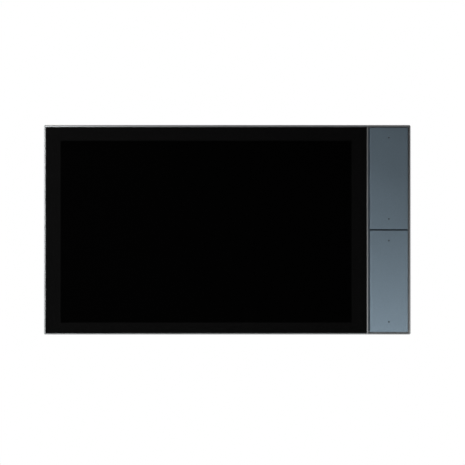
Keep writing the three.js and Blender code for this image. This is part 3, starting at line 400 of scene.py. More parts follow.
def milled_aluminium():
    """Rolled aluminium sheet with its long mill grain."""
    return grained("aluminium_rolled", linear("#B7BABD"), 0.35 * MM, 0.4,
                   0.006 * MM, spread=0.08, metallic=1.0, stretch=(0.06, 1.0, 1.0))


def pressed_steel():
    """Bright pressed steel of the backlight tray."""
    return grained("steel_pressed_bright", linear("#8F9295"), 0.3 * MM, 0.38,
                   0.005 * MM, metallic=1.0, stretch=(0.1, 1.0, 1.0))


def terminal_polyamide():
    """Glass-filled polyamide: saturated green with a slightly fibrous, dull skin."""
    return grained("polyamide_moulded_green", colours("terminal"), 0.6 * MM, 0.5,
                   0.03 * MM, spread=0.1, ior=1.53)


def epoxy_black():
    """Moulded epoxy of chips and small switches: charcoal and matt."""
    return grained("epoxy_moulded_black", linear("#1B1B1C"), 0.3 * MM, 0.6,
                   0.01 * MM, spread=0.1, ior=1.55)


def silicone():
    """Moulded silicone rubber: very matt black."""
    return grained("silicone_moulded_black", linear("#161616"), 0.5 * MM, 0.85,
                   0.02 * MM, ior=1.41)


def foam_tape():
    """Black acrylic foam tape: open-grained and without shine."""
    return grained("acrylic_foam_tape", linear("#111111"), 0.2 * MM, 0.95, 0.02 * MM, ior=1.47)


def smoked_acrylic():
    """Smoked acrylic light pipe: a dark, glossy dot when its lamp is off."""
    return grained("acrylic_smoked_polished", linear("#2A3339"), 0.4 * MM, 0.4,
                   0.001 * MM, ior=1.49)


def clear_sheet():
    """Clear acrylic sheet of the light guide and touch sensor, with its printed dot haze."""
    return grained("acrylic_sheet_clear", linear("#C9D0D3"), 0.8 * MM, 0.15,
                   0.001 * MM, spread=0.03, ior=1.49)


def display_cell():
    """The liquid-crystal cell: polarised glass, dark and faintly violet."""
    return grained("glass_polarised_cell", linear("#0A0A0D"), 0.3 * MM, 0.08,
                   0.001 * MM, ior=1.52)


def solder_resist():
    """Fibreglass board under green solder resist: its copper tracks show as lighter lines.
    What stands up from the board's face is the black epoxy of the parts soldered to it."""
    material, tree, shader, place = start_finish("fibreglass_green_solder_resist", ior=1.55)
    flat = add_node(tree, "ShaderNodeMapping", inputs={
        "Vector": place, "Rotation": (math.pi / 2, 0.0, 0.0),
    })
    tracks = add_node(tree, "ShaderNodeTexBrick", {"offset": 0.37, "squash": 1.6}, {
        "Vector": flat.outputs["Vector"], "Scale": 1 / TRACK_CELL, "Mortar Size": 0.012,
        "Brick Width": 0.55, "Row Height": 0.11, "Color1": linear("#0B3B22"),
        "Color2": linear("#0D4427"), "Mortar": linear("#2A7A49"),
    })
    weave = add_node(tree, "ShaderNodeTexNoise", inputs={"Vector": place, "Scale": 1 / WEAVE_SIZE})
    split = add_node(tree, "ShaderNodeSeparateXYZ", inputs={"Vector": place})
    raised = add_node(tree, "ShaderNodeMath", {"operation": "GREATER_THAN"}, {
        0: split.outputs["Y"], 1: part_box("processor")[0].y + BOARD_FACE_MARGIN,
    })
    colour = add_node(tree, "ShaderNodeMix", {"data_type": "RGBA"}, {
        0: raised.outputs[0], 6: tracks.outputs["Color"], 7: linear("#1C1D20"),
    })
    height = add_node(tree, "ShaderNodeMix", {"data_type": "FLOAT"}, {
        0: raised.outputs[0], 2: tracks.outputs["Fac"], 3: weave.outputs["Fac"],
    })
    relief = add_node(tree, "ShaderNodeBump", inputs={
        "Height": height.outputs[0], "Distance": 0.03 * MM, "Strength": 1.0,
    })
    sheen = add_node(tree, "ShaderNodeMapRange", inputs={
        "Value": weave.outputs["Fac"], "To Min": 0.25, "To Max": 0.4,
    })
    tree.links.new(colour.outputs[2], shader.inputs["Base Color"])
    tree.links.new(relief.outputs["Normal"], shader.inputs["Normal"])
    tree.links.new(sheen.outputs["Result"], shader.inputs["Roughness"])
    return material


def flexible_circuit():
    """Amber polyimide film over parallel copper tracks 1 mm apart."""
    material, tree, shader, place = start_finish("polyimide_flexible_circuit", ior=1.7)
    tracks = add_node(tree, "ShaderNodeTexWave", {"bands_direction": "X"}, {
        "Vector": place, "Scale": 0.31 / MM, "Distortion": 0.0,
    })
    copper = add_node(tree, "ShaderNodeMix", {"data_type": "RGBA"}, {
        0: tracks.outputs["Fac"], 6: linear("#6B3A10"), 7: linear("#B8742A"),
    })
    relief = add_node(tree, "ShaderNodeBump", inputs={
        "Height": tracks.outputs["Fac"], "Distance": 0.02 * MM,
    })
    shader.inputs["Roughness"].default_value = 0.3
    tree.links.new(copper.outputs[2], shader.inputs["Base Color"])
    tree.links.new(relief.outputs["Normal"], shader.inputs["Normal"])
    return material


def matt_floor():
    """Pale painted studio floor."""
    return grained("studio_floor_pale_paint", colours("floor"), 6 * MM, 0.8,
                   0.02 * MM, spread=0.01, drift=0.01, ior=1.45)


_made = {}


def finish(maker):
    """The material that a maker function gives, made once."""
    if maker not in _made:
        _made[maker] = maker()
    return _made[maker]


# ------------------------------------------------------------------ mesh helpers

def add_object(name, mesh):
    """A new object in the scene that holds the mesh."""
    made = bpy.data.objects.new(name, mesh)
    bpy.context.scene.collection.objects.link(made)
    return made


def mesh_from(name, bm):
    """Turns a bmesh into a mesh whose faces point outwards."""
    bmesh.ops.recalc_face_normals(bm, faces=bm.faces)
    mesh = bpy.data.meshes.new(name)
    bm.to_mesh(mesh)
    bm.free()
    return mesh


def bake_modifiers(piece):
    """Replaces the piece's mesh by its evaluated one and drops the modifiers."""
    depsgraph = bpy.context.evaluated_depsgraph_get()
    mesh = bpy.data.meshes.new_from_object(piece.evaluated_get(depsgraph))
    mesh.name = piece.name
    piece.modifiers.clear()
    piece.data = mesh
    return piece


def smooth(piece):
    """Smooth shading with sharp creases, and flat faces kept flat."""
    piece.data.polygons.foreach_set("use_smooth", [True] * len(piece.data.polygons))
    piece.data.set_sharp_from_angle(angle=CREASE_ANGLE)
    weighted = piece.modifiers.new("flat faces", "WEIGHTED_NORMAL")
    weighted.keep_sharp = True
    return bake_modifiers(piece)


def outline(low, high, corner, inset):
    """X and Z of the points round a rectangle with round corners, drawn in by inset."""
    radius = max(corner - inset, 0.02 * MM)
    points = []
    for quarter, (sign_x, sign_z) in enumerate(((1, 1), (-1, 1), (-1, -1), (1, -1))):
        centre_x = (high.x if sign_x > 0 else low.x) - sign_x * (inset + radius)
        centre_z = (high.z if sign_z > 0 else low.z) - sign_z * (inset + radius)
        for step in range(CORNER_STEPS + 1):
            angle = math.pi / 2 * (quarter + step / CORNER_STEPS)
            x = centre_x + radius * math.cos(angle)
            z = centre_z + radius * math.sin(angle)
            points.append((x, z))
    return points


def rounded_plate(name, low, high, corner, edge):
    """A plate facing the front, with round corners and a rounded edge all the way round it."""
    bm = bmesh.new()
    rings = []
    turns = [step / PLATE_EDGE_STEPS for step in range(PLATE_EDGE_STEPS + 1)]
    for y, sign, reach in ((low.y, 1, edge), (high.y, -1, PLATE_REAR_EDGE)):
        for turn in turns if sign > 0 else reversed(turns):
            angle = math.pi / 2 * turn
            inset = reach * (1 - math.sin(angle))
            level = y + sign * reach * (1 - math.cos(angle))
            ring = outline(low, high, corner, inset)
            rings.append([bm.verts.new((x, level, z)) for x, z in ring])
    count = len(rings[0])
    for before, after in zip(rings, rings[1:]):
        for i in range(count):
            j = (i + 1) % count
            bm.faces.new((before[i], before[j], after[j], after[i]))
    bm.faces.new(rings[0])
    bm.faces.new(list(reversed(rings[-1])))
    return add_object(name, mesh_from(name, bm))


def turned_piece(name, profile, centre, axis="Y", sides=32):
    """A turned solid along X or Y, from (radius, distance) pairs that start and end on its
    axis."""
    bm = bmesh.new()
    rings = []
    for radius, along in profile:
        if radius < ON_AXIS:
            rings.append([bm.verts.new((0.0, along, 0.0))])
            continue
        angles = [2 * math.pi * side / sides for side in range(sides)]
        rings.append([bm.verts.new((radius * math.cos(a), along, radius * math.sin(a)))
                      for a in angles])
    for before, after in zip(rings, rings[1:]):
        for i in range(sides):
            j = (i + 1) % sides
            corners = [before[i % len(before)], before[j % len(before)],
                       after[j % len(after)], after[i % len(after)]]
            unique = list(dict.fromkeys(corners))
            if len(unique) > 2:
                bm.faces.new(unique)
    turn = Matrix.Rotation(-math.pi / 2, 4, "Z") if axis == "X" else Matrix.Identity(4)
    bmesh.ops.transform(bm, matrix=Matrix.Translation(centre) @ turn, verts=bm.verts)
    return add_object(name, mesh_from(name, bm))


def block(bm, low, high):
    """Adds a plain block to a bmesh, as one bar or wall of a larger piece."""
    middle = (Vector(low) + Vector(high)) / 2
    size = Vector(high) - Vector(low)
    matrix = Matrix.Translation(middle) @ Matrix.Diagonal((*size, 1.0))
    bmesh.ops.create_cube(bm, size=1.0, matrix=matrix)


def refined(node, name, edge):
    """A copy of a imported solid, merged, split into convex faces, and with its sharp edges
    rounded to a real radius."""
    mesh = NODES[node].data.copy()
    bm = bmesh.new()
    bm.from_mesh(mesh)
    bmesh.ops.remove_doubles(bm, verts=bm.verts, dist=WELD_DISTANCE)
    bmesh.ops.dissolve_limit(bm, angle_limit=FLAT_ANGLE, verts=bm.verts, edges=bm.edges)
    bmesh.ops.connect_verts_concave(bm, faces=bm.faces)
    bm.to_mesh(mesh)
    bm.free()
    mesh.materials.clear()
    piece = add_object(name, mesh)
    rounding = piece.modifiers.new("edge", "BEVEL")
    rounding.width = edge
    rounding.segments = EDGE_SEGMENTS
    rounding.limit_method = "ANGLE"
    rounding.angle_limit = EDGE_ANGLE
    rounding.use_clamp_overlap = True
    return smooth(bake_modifiers(piece))


def cut_by(piece, *cutters):
    """Cuts the cutters out of the piece and removes them."""
    for cutter in cutters:
        boolean = piece.modifiers.new("cut", "BOOLEAN")
        boolean.operation = "DIFFERENCE"
        boolean.solver = "EXACT"
        boolean.object = cutter
    bake_modifiers(piece)
    for cutter in cutters:
        bpy.data.objects.remove(cutter)
    return piece


def install(piece, body, maker, slot, *nodes):
    """Gives the piece its finish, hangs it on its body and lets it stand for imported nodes."""
    piece.data.materials.clear()
    piece.data.materials.append(finish(maker))
    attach(piece, body)
    if nodes:
        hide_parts(*nodes)
    return piece


def paint(maker, *nodes):
    """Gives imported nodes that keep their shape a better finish."""
    for node in nodes:
        NODES[node].data.materials.clear()
        NODES[node].data.materials.append(finish(maker))


# ------------------------------------------------------------------ geometry node trees

def tree_with_inputs(name, sockets):
    """A new geometry tree with named inputs; returns it with its input and output nodes."""
    tree = bpy.data.node_groups.new(name, "GeometryNodeTree")
    tree.interface.new_socket("Geometry", in_out="INPUT", socket_type="NodeSocketGeometry")
    for label, kind in sockets:
        tree.interface.new_socket(label, in_out="INPUT", socket_type=kind)
    tree.interface.new_socket("Geometry", in_out="OUTPUT", socket_type="NodeSocketGeometry")
    return tree, add_node(tree, "NodeGroupInput"), add_node(tree, "NodeGroupOutput")


def copies_tree():
    """Puts a copy of one piece on every point, turned about Y at random within a limit."""
    tree, given, result = tree_with_inputs("copies_on_points", (
        ("Piece", "NodeSocketObject"), ("Size", "NodeSocketFloat"), ("Turn", "NodeSocketFloat"),
        ("Seed", "NodeSocketInt"), ("Finish", "NodeSocketMaterial"),
    ))
    piece = add_node(tree, "GeometryNodeObjectInfo", {"transform_space": "ORIGINAL"},
                     {"Object": given.outputs["Piece"]})
    angle = add_node(tree, "FunctionNodeRandomValue", {"data_type": "FLOAT"}, {
        "Max": given.outputs["Turn"], "Seed": given.outputs["Seed"],
    })
    turn = add_node(tree, "ShaderNodeCombineXYZ", inputs={"Y": angle.outputs[1]})
    copies = add_node(tree, "GeometryNodeInstanceOnPoints", inputs={
        "Points": given.outputs["Geometry"], "Instance": piece.outputs["Geometry"],
        "Rotation": turn.outputs["Vector"], "Scale": given.outputs["Size"],
    })
    real = add_node(tree, "GeometryNodeRealizeInstances",
                    inputs={"Geometry": copies.outputs["Instances"]})
    painted = add_node(tree, "GeometryNodeSetMaterial", inputs={
        "Geometry": real.outputs["Geometry"], "Material": given.outputs["Finish"],
    })
    tree.links.new(painted.outputs["Geometry"], result.inputs["Geometry"])
    return tree


def row_tree():
    """A straight row of like bars: how many, how far apart, and each one's size."""
    tree, given, result = tree_with_inputs("row_of_bars", (
        ("Start", "NodeSocketVector"), ("Step", "NodeSocketVector"), ("Count", "NodeSocketInt"),
        ("Bar", "NodeSocketVector"), ("Finish", "NodeSocketMaterial"),
    ))
    line = add_node(tree, "GeometryNodeMeshLine", {"mode": "OFFSET"}, {
        "Count": given.outputs["Count"], "Start Location": given.outputs["Start"],
        "Offset": given.outputs["Step"],
    })
    bar = add_node(tree, "GeometryNodeMeshCube", inputs={"Size": given.outputs["Bar"]})
    copies = add_node(tree, "GeometryNodeInstanceOnPoints", inputs={
        "Points": line.outputs["Mesh"], "Instance": bar.outputs["Mesh"],
    })
    real = add_node(tree, "GeometryNodeRealizeInstances",
                    inputs={"Geometry": copies.outputs["Instances"]})
    painted = add_node(tree, "GeometryNodeSetMaterial", inputs={
        "Geometry": real.outputs["Geometry"], "Material": given.outputs["Finish"],
    })
    tree.links.new(painted.outputs["Geometry"], result.inputs["Geometry"])
    return tree


_trees = {}


def grow(name, points, maker_tree, values):
    """Runs a geometry tree on a mesh of loose points and keeps the result as a plain mesh."""
    if maker_tree not in _trees:
        _trees[maker_tree] = maker_tree()
    tree = _trees[maker_tree]
    mesh = bpy.data.meshes.new(name)
    mesh.from_pydata([tuple(point) for point in points], [], [])
    piece = add_object(name, mesh)
    modifier = piece.modifiers.new("grow", "NODES")
    modifier.node_group = tree
    for socket in tree.interface.items_tree:
        if socket.in_out == "INPUT" and socket.name in values:
            modifier[socket.identifier] = values[socket.name]
    return bake_modifiers(piece)


def copies(name, master, points, maker, body, slot, *nodes, turn):
    """Copies of a master piece on points, as one finished piece. The master is removed."""
    piece = grow(name, points, copies_tree, {
        "Piece": master, "Size": 1.0, "Turn": turn, "Seed": sizes().seed, "Finish": finish(maker),
    })
    bpy.data.objects.remove(master)
    return install(smooth(piece), body, maker, slot, *nodes)


def row(name, start, step, count, bar, maker, body, slot):
    """A row of small bars as one finished piece."""
    piece = grow(name, [(0.0, 0.0, 0.0)], row_tree, {
        "Start": start, "Step": step, "Count": count, "Bar": bar, "Finish": finish(maker),
    })
    return install(piece, body, maker, slot)


# ------------------------------------------------------------------ pieces

class INTERCOM_OT_display(bpy.types.Operator):
    """Cover glass over the display stack"""

    bl_idname = "intercom.display"
    bl_label = "Display and cover glass"

    def execute(self, context):
        low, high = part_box("cover_glass")
        glass = rounded_plate("cover_glass_polished", low, high, sizes().glass_corner,
                              sizes().glass_edge)
        install(smooth(glass), "monitor", printed_glass, "black_glass", "cover_glass")
        paint(foam_tape, "glass_tape")
        paint(clear_sheet, "touch_sensor", "light_guide")
        paint(display_cell, "lcd_cell")
        paint(pressed_steel, "backlight_tray")
        return {"FINISHED"}


class INTERCOM_OT_front_frame(bpy.types.Operator):
    """Machined aluminium ring with its thin lip and divider rib"""

    bl_idname = "intercom.front_frame"
    bl_label = "Front frame"

    def execute(self, context):
        ring = refined("front_frame", "front_frame_ring", sizes().frame_edge)
        install(ring, "monitor", clear_anodised, "anodised_silver", "front_frame")
        return {"FINISHED"}


class INTERCOM_OT_rocker_keys(bpy.types.Operator):
    """Two anodised key facings on their plastic rockers, each with two light pipes"""

    bl_idname = "intercom.rocker_keys"
    bl_label = "Rocker keys"

    def execute(self, context):
        for key in KEYS:
            body = f"rocker_{key}"
            low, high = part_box(f"key_face_{key}")
            face = rounded_plate(f"key_facing_{key}", low, high, sizes().key_corner,
                                 sizes().key_edge)
            centres = []
            for end in ENDS:
                pipe_low, pipe_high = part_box(f"light_pipe_{key}_{end}")
                centre = (pipe_low + pipe_high) / 2
                centres.append(Vector((centre.x, 0.0, centre.z)))
                self.light_pipe(key, end, centres[-1], pipe_low.y, pipe_high.y)
            cut_by(face, *[self.pipe_hole(low.y, high.y, centre) for centre in centres])
            install(smooth(face), body, slate_anodised, "anodised_slate", f"key_face_{key}")
            rocker = refined(f"key_rocker_{key}", f"key_rocker_moulding_{key}", ROCKER_EDGE)
            install(rocker, body, moulded_abs, "black_moulded", f"key_rocker_{key}")
        return {"FINISHED"}

    def pipe_hole(self, front, rear, centre):
        """A cutter for a light pipe's hole, flared a little where it breaks the surface."""
        radius = sizes().pipe_radius + PIPE_CLEARANCE
        past_rear = rear + 1 * MM
        return turned_piece("pipe_hole", [
            (0.0, front - PIPE_FLARE), (radius + 2 * PIPE_FLARE, front - PIPE_FLARE),
            (radius, front + PIPE_FLARE), (radius, past_rear), (0.0, past_rear),
        ], centre)

    def light_pipe(self, key, end, centre, front, rear):
        """A stepped rod with a slightly domed end."""
        radius = sizes().pipe_radius
        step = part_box(f"key_face_{key}")[1].y + PIPE_STEP_GAP
        pipe = turned_piece(f"light_pipe_rod_{key}_{end}", [
            (0.0, front), (radius * 0.6, front + 0.02 * MM), (radius, front + 0.1 * MM),
            (radius, step), (PIPE_SHOULDER, step), (PIPE_SHOULDER, rear - 0.1 * MM),
            (PIPE_SHOULDER - 0.1 * MM, rear), (0.0, rear),
        ], centre)
        install(smooth(pipe), f"rocker_{key}", smoked_acrylic, "smoked_acrylic",
                f"light_pipe_{key}_{end}")


class INTERCOM_OT_key_works(bpy.types.Operator):
    """Carrier, board, switches and plungers under the keys"""

    bl_idname = "intercom.key_works"
    bl_label = "Key carrier and switches"

    def execute(self, context):
        carrier = refined("key_carrier", "key_carrier_tray", CARRIER_EDGE)
        # The carrier's slate paint is darker than the keys' slate, as painted shade for part of the
        # gaps round the keys.
        install(carrier, "monitor", slate_paint_and_gap_shade, "slate_plastic", "key_carrier")
        paint(solder_resist, "key_board")
        for key in KEYS:
            for end in ENDS:
                self.switch(key, end)
        return {"FINISHED"}

    def switch(self, key, end):
        """A moulded tactile switch, with a turned plunger of its own."""
        name = f"{key}_{end}"
        body = refined(f"key_switch_{name}", f"key_switch_body_{name}", SWITCH_EDGE)
        install(body, "monitor", epoxy_black, "black_resin", f"key_switch_{name}")
        low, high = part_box(f"switch_plunger_{name}")
        centre = (low + high) / 2
        radius = (high.x - low.x) / 2
        plunger = turned_piece(f"switch_plunger_turned_{name}", [
            (0.0, low.y), (radius * 0.7, low.y + 0.03 * MM), (radius * 0.95, low.y + 0.15 * MM),
            (radius, low.y + 0.4 * MM), (radius, high.y), (0.0, high.y),
        ], Vector((centre.x, 0.0, centre.z)))
        install(smooth(plunger), f"plunger_{name}", epoxy_black, "black_resin",
                f"switch_plunger_{name}")


class INTERCOM_OT_rear_cover(bpy.types.Operator):
    """Moulded rear cover with its vents, cable recess and reset button"""

    bl_idname = "intercom.rear_cover"
    bl_label = "Rear cover"

    def execute(self, context):
        cover = refined("rear_cover", "rear_cover_moulding", sizes().cover_edge)
        install(cover, "monitor", moulded_abs, "black_moulded", "rear_cover")
        self.reset_button()
        paint(epoxy_black, "reset_switch")
        return {"FINISHED"}

    def reset_button(self):
        """A stem with a collar behind the wall and a dished, rounded end outside it."""
        low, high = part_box("reset_button")
        centre = (low + high) / 2
        collar = (high.z - low.z) / 2
        stem = collar - BUTTON_COLLAR_REACH
        wall = high.x - BUTTON_WALL_DEPTH
        button = turned_piece("reset_button_stem", [
            (0.0, low.x), (stem, low.x), (stem, wall - 1.2 * MM), (collar, wall - 1.2 * MM),
            (collar, wall - 0.2 * MM), (stem, wall - 0.2 * MM), (stem, high.x - 0.25 * MM),
            (stem * 0.93, high.x - 0.07 * MM), (stem * 0.8, high.x), (0.0, high.x - 0.12 * MM),
        ], Vector((0.0, centre.y, centre.z)), axis="X")
        install(smooth(button), "reset", epoxy_black, "black_resin", "reset_button")


class INTERCOM_OT_wall_bracket(bpy.types.Operator):
    """Pressed and powder-coated wall bracket with its hooks"""

    bl_idname = "intercom.wall_bracket"
    bl_label = "Wall bracket"

    def execute(self, context):
        bracket = refined("wall_bracket", "wall_bracket_coated", sizes().bracket_edge)
        install(bracket, "bracket", powder_coat, "bracket_steel", "wall_bracket")
        return {"FINISHED"}


class INTERCOM_OT_screws(bpy.types.Operator):
    """Pan-head screws in the cover, plate and boards, and the lock screw"""

    bl_idname = "intercom.screws"
    bl_label = "Screws"

    def execute(self, context):
        for name, count in SCREW_GROUPS:
            nodes = [f"{name}_{i + 1}" for i in range(count)]
            low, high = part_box(nodes[0])
            head = (high.x - low.x) / 2
            seats = []
            for node in nodes:
                node_low, node_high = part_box(node)
                middle = (node_low + node_high) / 2
                seats.append((middle.x, node_high.y, middle.z))
            master = self.screw(head, high.y - low.y)
            copies(f"{name}s", master, seats, blackened_zinc, "monitor", "screw_steel", *nodes,
                   turn=2 * math.pi)
        self.lock_screw()
        return {"FINISHED"}

    def screw(self, head, length):
        """A screw along -Y from the top of its head at the origin: domed head, cross recess
        and a threaded shank."""
        height = head * 0.55
        shank = head * 0.5
        pitch = shank * 0.38
        profile = [(0.0, -length)]
        turns = int((length - height) / pitch) - 1
        for turn in range(turns):
            along = -length + shank * 0.6 + turn * pitch
            profile += [(shank * 0.86, along), (shank, along + pitch * 0.45)]
        profile += [
            (shank, -height), (head * 0.97, -height), (head, -height * 0.85),
            (head, -height * 0.55), (head * 0.9, -height * 0.25), (head * 0.7, -height * 0.06),
            (head * 0.45, 0.0), (0.0, 0.0),
        ]
        screw = turned_piece("screw_master", profile, Vector((0, 0, 0)), sides=SCREW_SIDES)
        arm, slit = head * 0.52, head * 0.12
        cutters = []
        for name, x, z in (("cross_x", arm, slit), ("cross_z", slit, arm)):
            bm = bmesh.new()
            block(bm, (-x, -height * 0.75, -z), (x, height, z))
            cutters.append(add_object(name, mesh_from(name, bm)))
        return cut_by(screw, *cutters)

    def lock_screw(self):
        """The same screw, turned to point up through the cover's bottom wall."""
        low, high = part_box("lock_screw")
        middle = (low + high) / 2
        piece = self.screw((high.x - low.x) / 2, high.z - low.z)
        upward = Matrix.Rotation(-math.pi / 2, 4, "X")
        piece.data.transform(Matrix.Translation((middle.x, middle.y, low.z)) @ upward)
        piece.name = "lock_screw_pan_head"
        install(smooth(piece), "monitor", blackened_zinc, "screw_steel", "lock_screw")


class INTERCOM_OT_sockets(bpy.types.Operator):
    """Network socket and screw terminal in the cable recess"""

    bl_idname = "intercom.sockets"
    bl_label = "Sockets"

    def execute(self, context):
        shell = refined("ethernet_jack", "ethernet_jack_shell", SOCKET_EDGE)
        install(shell, "monitor", nickel_plate, "socket_nickel", "ethernet_jack")
        self.jack_contacts()
        body = refined("terminal_block", "terminal_block_moulding", TERMINAL_EDGE)
        install(body, "monitor", terminal_polyamide, "terminal_plastic", "terminal_block")
        self.terminal_screws()
        return {"FINISHED"}

    def jack_contacts(self):
        """Straight gold wires, side by side, that run up from inside the socket's mouth."""
        low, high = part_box("ethernet_jack")
        first = (low.x + high.x) / 2 - CONTACT_PITCH * (CONTACT_COUNT - 1) / 2
        start = Vector((first, low.y + CONTACT_DEPTH, low.z + CONTACT_HEIGHT))
        row("ethernet_contacts", start, (CONTACT_PITCH, 0.0, 0.0), CONTACT_COUNT,
            CONTACT_BAR, gold_contact, "monitor", "socket_nickel")

    def terminal_screws(self):
        """A slotted clamp screw in each pole's well, turned as the last hand left it."""
        low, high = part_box("terminal_block")
        pitch = (high.x - low.x) / POLES
        master = turned_piece("clamp_screw_master", [
            (0.0, -CLAMP_LENGTH), (CLAMP_RADIUS, -CLAMP_LENGTH), (CLAMP_RADIUS, -0.15 * MM),
            (CLAMP_RADIUS * 0.9, 0.0), (0.0, 0.0),
        ], Vector((0, 0, 0)), sides=SCREW_SIDES)
        bm = bmesh.new()
        block(bm, (-2 * MM, -0.6 * MM, -CLAMP_SLOT), (2 * MM, 1 * MM, CLAMP_SLOT))
        cut_by(master, add_object("clamp_slot", mesh_from("clamp_slot", bm)))
        tops = [(low.x + pitch * (pole + 0.5), high.y - CLAMP_SINK, low.z + CLAMP_HEIGHT)
                for pole in range(POLES)]
        copies("terminal_clamp_screws", master, tops, nickel_plate, "monitor", "socket_nickel",
               turn=math.pi)


class INTERCOM_OT_electronics(bpy.types.Operator):
    """Main board, processor and the plate behind the display"""

    bl_idname = "intercom.electronics"
    bl_label = "Main board"

    def execute(self, context):
        paint(solder_resist, "main_board")
        paint(epoxy_black, "processor")
        paint(milled_aluminium, "mid_plate")
        sink = refined("heat_sink", "heat_sink_finned", HEAT_SINK_EDGE)
        install(sink, "monitor", milled_aluminium, "plate_alloy", "heat_sink")
        self.small_parts()
        return {"FINISHED"}

    def small_parts(self):
        """Rows of chip capacitors soldered above the processor."""
        low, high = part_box("processor")
        for number, above in enumerate(CAPACITOR_ROWS, 1):
            start = (low.x - CAPACITOR_START, low.y + CAPACITOR_BAR[1] / 2, high.z + above)
            row(f"chip_capacitors_{number}", start, (CAPACITOR_PITCH, 0.0, 0.0),
                CAPACITOR_COUNT, CAPACITOR_BAR, epoxy_black, "monitor", "black_resin")


class INTERCOM_OT_sound(bpy.types.Operator):
    """Speaker with its gasket, and microphone with its boot"""

    bl_idname = "intercom.sound"
    bl_label = "Speaker and microphone"

    def execute(self, context):
        speaker = refined("speaker", "speaker_oval", SPEAKER_EDGE)
        install(speaker, "monitor", epoxy_black, "black_resin", "speaker")
        paint(silicone, "speaker_gasket", "microphone_boot")
        paint(nickel_plate, "microphone")
        return {"FINISHED"}


class INTERCOM_OT_ribbons(bpy.types.Operator):
    """Flexible circuits between the display, the keys and the main board"""

    bl_idname = "intercom.ribbons"
    bl_label = "Ribbon cables"

    def execute(self, context):
        for name in ("display_ribbon", "touch_ribbon", "key_ribbon"):
            strip = refined(name, f"{name}_film", RIBBON_EDGE)
            install(strip, "monitor", flexible_circuit, "polyimide", name)
        return {"FINISHED"}


# ------------------------------------------------------------------ stage

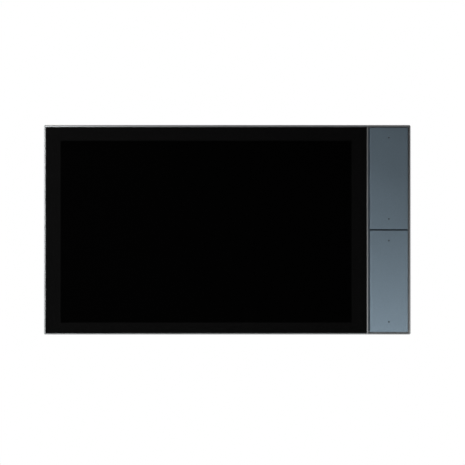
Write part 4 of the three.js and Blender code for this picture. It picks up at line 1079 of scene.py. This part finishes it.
class INTERCOM_OT_stage(bpy.types.Operator):
    """Pale floor, soft studio light and the camera"""

    bl_idname = "intercom.stage"
    bl_label = "Stage"

    def execute(self, context):
        context.scene.view_settings.view_transform = "Standard"
        self.camera(context)
        self.floor()
        self.world(context)
        self.lights()
        return {"FINISHED"}

    def camera(self, context):
        """Square on to the front, far off with a long lens, so that no side shows."""
        data = bpy.data.cameras.new("camera")
        data.lens = data.sensor_width * sizes().view_distance / sizes().view_width
        data.clip_end = VIEW_REACH
        camera = bpy.data.objects.new("camera", data)
        front = CAD_BOX[0][1]
        camera.location = (VIEW_CENTRE_X, front - sizes().view_distance, VIEW_CENTRE_Z)
        camera.rotation_euler = (math.pi / 2, 0.0, 0.0)
        context.scene.collection.objects.link(camera)
        context.scene.camera = camera

    def floor(self):
        """A round pale floor, below what the camera sees."""
        bm = bmesh.new()
        bmesh.ops.create_circle(bm, cap_ends=True, segments=FLOOR_SIDES, radius=FLOOR_RADIUS)
        bmesh.ops.translate(bm, verts=bm.verts, vec=(0.0, 0.0, -sizes().floor_drop))
        floor = add_object("studio_floor", mesh_from("studio_floor", bm))
        floor.data.materials.append(finish(matt_floor))

    def world(self, context):
        """White behind the object; for its reflections, a dim room that is dark in front."""
        world = bpy.data.worlds.new("studio")
        world.use_nodes = True
        tree = world.node_tree
        tree.nodes.clear()
        ray = add_node(tree, "ShaderNodeLightPath")
        place = add_node(tree, "ShaderNodeTexCoord")
        split = add_node(tree, "ShaderNodeSeparateXYZ",
                         inputs={"Vector": place.outputs["Generated"]})
        room = add_node(tree, "ShaderNodeMapRange", {"interpolation_type": "SMOOTHSTEP"}, {
            "Value": split.outputs["Y"], "From Min": -0.1, "From Max": 0.6,
            "To Min": 0.0, "To Max": ROOM_LIGHT,
        })
        seen = add_node(tree, "ShaderNodeMix", {"data_type": "FLOAT"}, {
            0: ray.outputs["Is Camera Ray"], 2: room.outputs["Result"], 3: 1.0,
        })
        sky = add_node(tree, "ShaderNodeBackground", inputs={
            "Color": (1.0, 1.0, 1.0, 1.0), "Strength": seen.outputs[0],
        })
        add_node(tree, "ShaderNodeOutputWorld", inputs={"Surface": sky.outputs["Background"]})
        context.scene.world = world

    def lights(self):
        """A small softbox below the front and a narrow one at its left, which shade the metal
        from bright at the bottom and left to dark at the top and right, large ones round the
        object, and one that lights only the floor seen from behind. Places and sizes are in
        metres, and powers in watts."""
        middle = Vector((0.0, -0.02, 0.0))
        left_rim = Vector((-0.108, -0.024, 0.0))
        keys = Vector((0.08, -0.02, 0.0))
        right_floor = Vector((1.5, -1.5, -sizes().floor_drop))
        for name, place, aim, width, height, power in (
            ("low_front_softbox", (0.08, -0.34, -0.19), keys, 0.3, 0.24, 0.59),
            ("near_left_softbox", (-0.175, -0.25, 0.03), left_rim, 0.08, 0.16, 0.48),
            ("left_softbox", (-1.3, -0.15, 0.1), middle, 0.9, 1.2, 8.0),
            ("right_softbox", (1.5, -0.1, 0.4), middle, 0.9, 1.2, 2.0),
            ("top_softbox", (0.0, 0.5, 1.6), middle, 1.8, 1.0, 8.0),
            ("rear_softbox", (-0.8, 1.5, 0.9), middle, 1.4, 1.0, 16.0),
            ("floor_softbox", (1.5, -1.5, 0.9), right_floor, 1.6, 1.6, 4.5),
        ):
            data = bpy.data.lights.new(name, "AREA")
            data.shape = "RECTANGLE"
            data.size = width
            data.size_y = height
            data.energy = power
            lamp = bpy.data.objects.new(name, data)
            lamp.location = place
            lamp.rotation_euler = (Vector(place) - aim).to_track_quat("Z", "Y").to_euler()
            lamp.visible_camera = False
            bpy.context.scene.collection.objects.link(lamp)
        bpy.data.lights["floor_softbox"].spread = FLOOR_LAMP_SPREAD


# ------------------------------------------------------------------ panel and registration

OPERATORS = (
    INTERCOM_OT_stage,
    INTERCOM_OT_display,
    INTERCOM_OT_front_frame,
    INTERCOM_OT_rocker_keys,
    INTERCOM_OT_key_works,
    INTERCOM_OT_rear_cover,
    INTERCOM_OT_wall_bracket,
    INTERCOM_OT_screws,
    INTERCOM_OT_sockets,
    INTERCOM_OT_electronics,
    INTERCOM_OT_sound,
    INTERCOM_OT_ribbons,
)


class INTERCOM_PT_panel(bpy.types.Panel):
    """Lists the monitor's settings and the steps that build it"""

    bl_label = "Video intercom monitor"
    bl_idname = "INTERCOM_PT_panel"
    bl_space_type = "VIEW_3D"
    bl_region_type = "UI"
    bl_category = "Intercom"

    def draw(self, context):
        for group in (context.scene.intercom_colours, context.scene.intercom_sizes):
            column = self.layout.column()
            for name in group.__annotations__:
                column.prop(group, name)
        for operator in OPERATORS:
            self.layout.operator(operator.bl_idname)


CLASSES = (IntercomColours, IntercomSizes, *OPERATORS, INTERCOM_PT_panel)


def register():
    """Adds the classes and the user's settings to Blender."""
    for cls in CLASSES:
        bpy.utils.register_class(cls)
    bpy.types.Scene.intercom_colours = PointerProperty(type=IntercomColours)
    bpy.types.Scene.intercom_sizes = PointerProperty(type=IntercomSizes)


def unregister():
    """Takes them away again."""
    del bpy.types.Scene.intercom_sizes
    del bpy.types.Scene.intercom_colours
    for cls in reversed(CLASSES):
        bpy.utils.unregister_class(cls)


def main():
    register()
    for operator in OPERATORS:
        name = operator.bl_idname.split(".")[1]
        getattr(bpy.ops.intercom, name)()


if __name__ == "__main__":
    main()
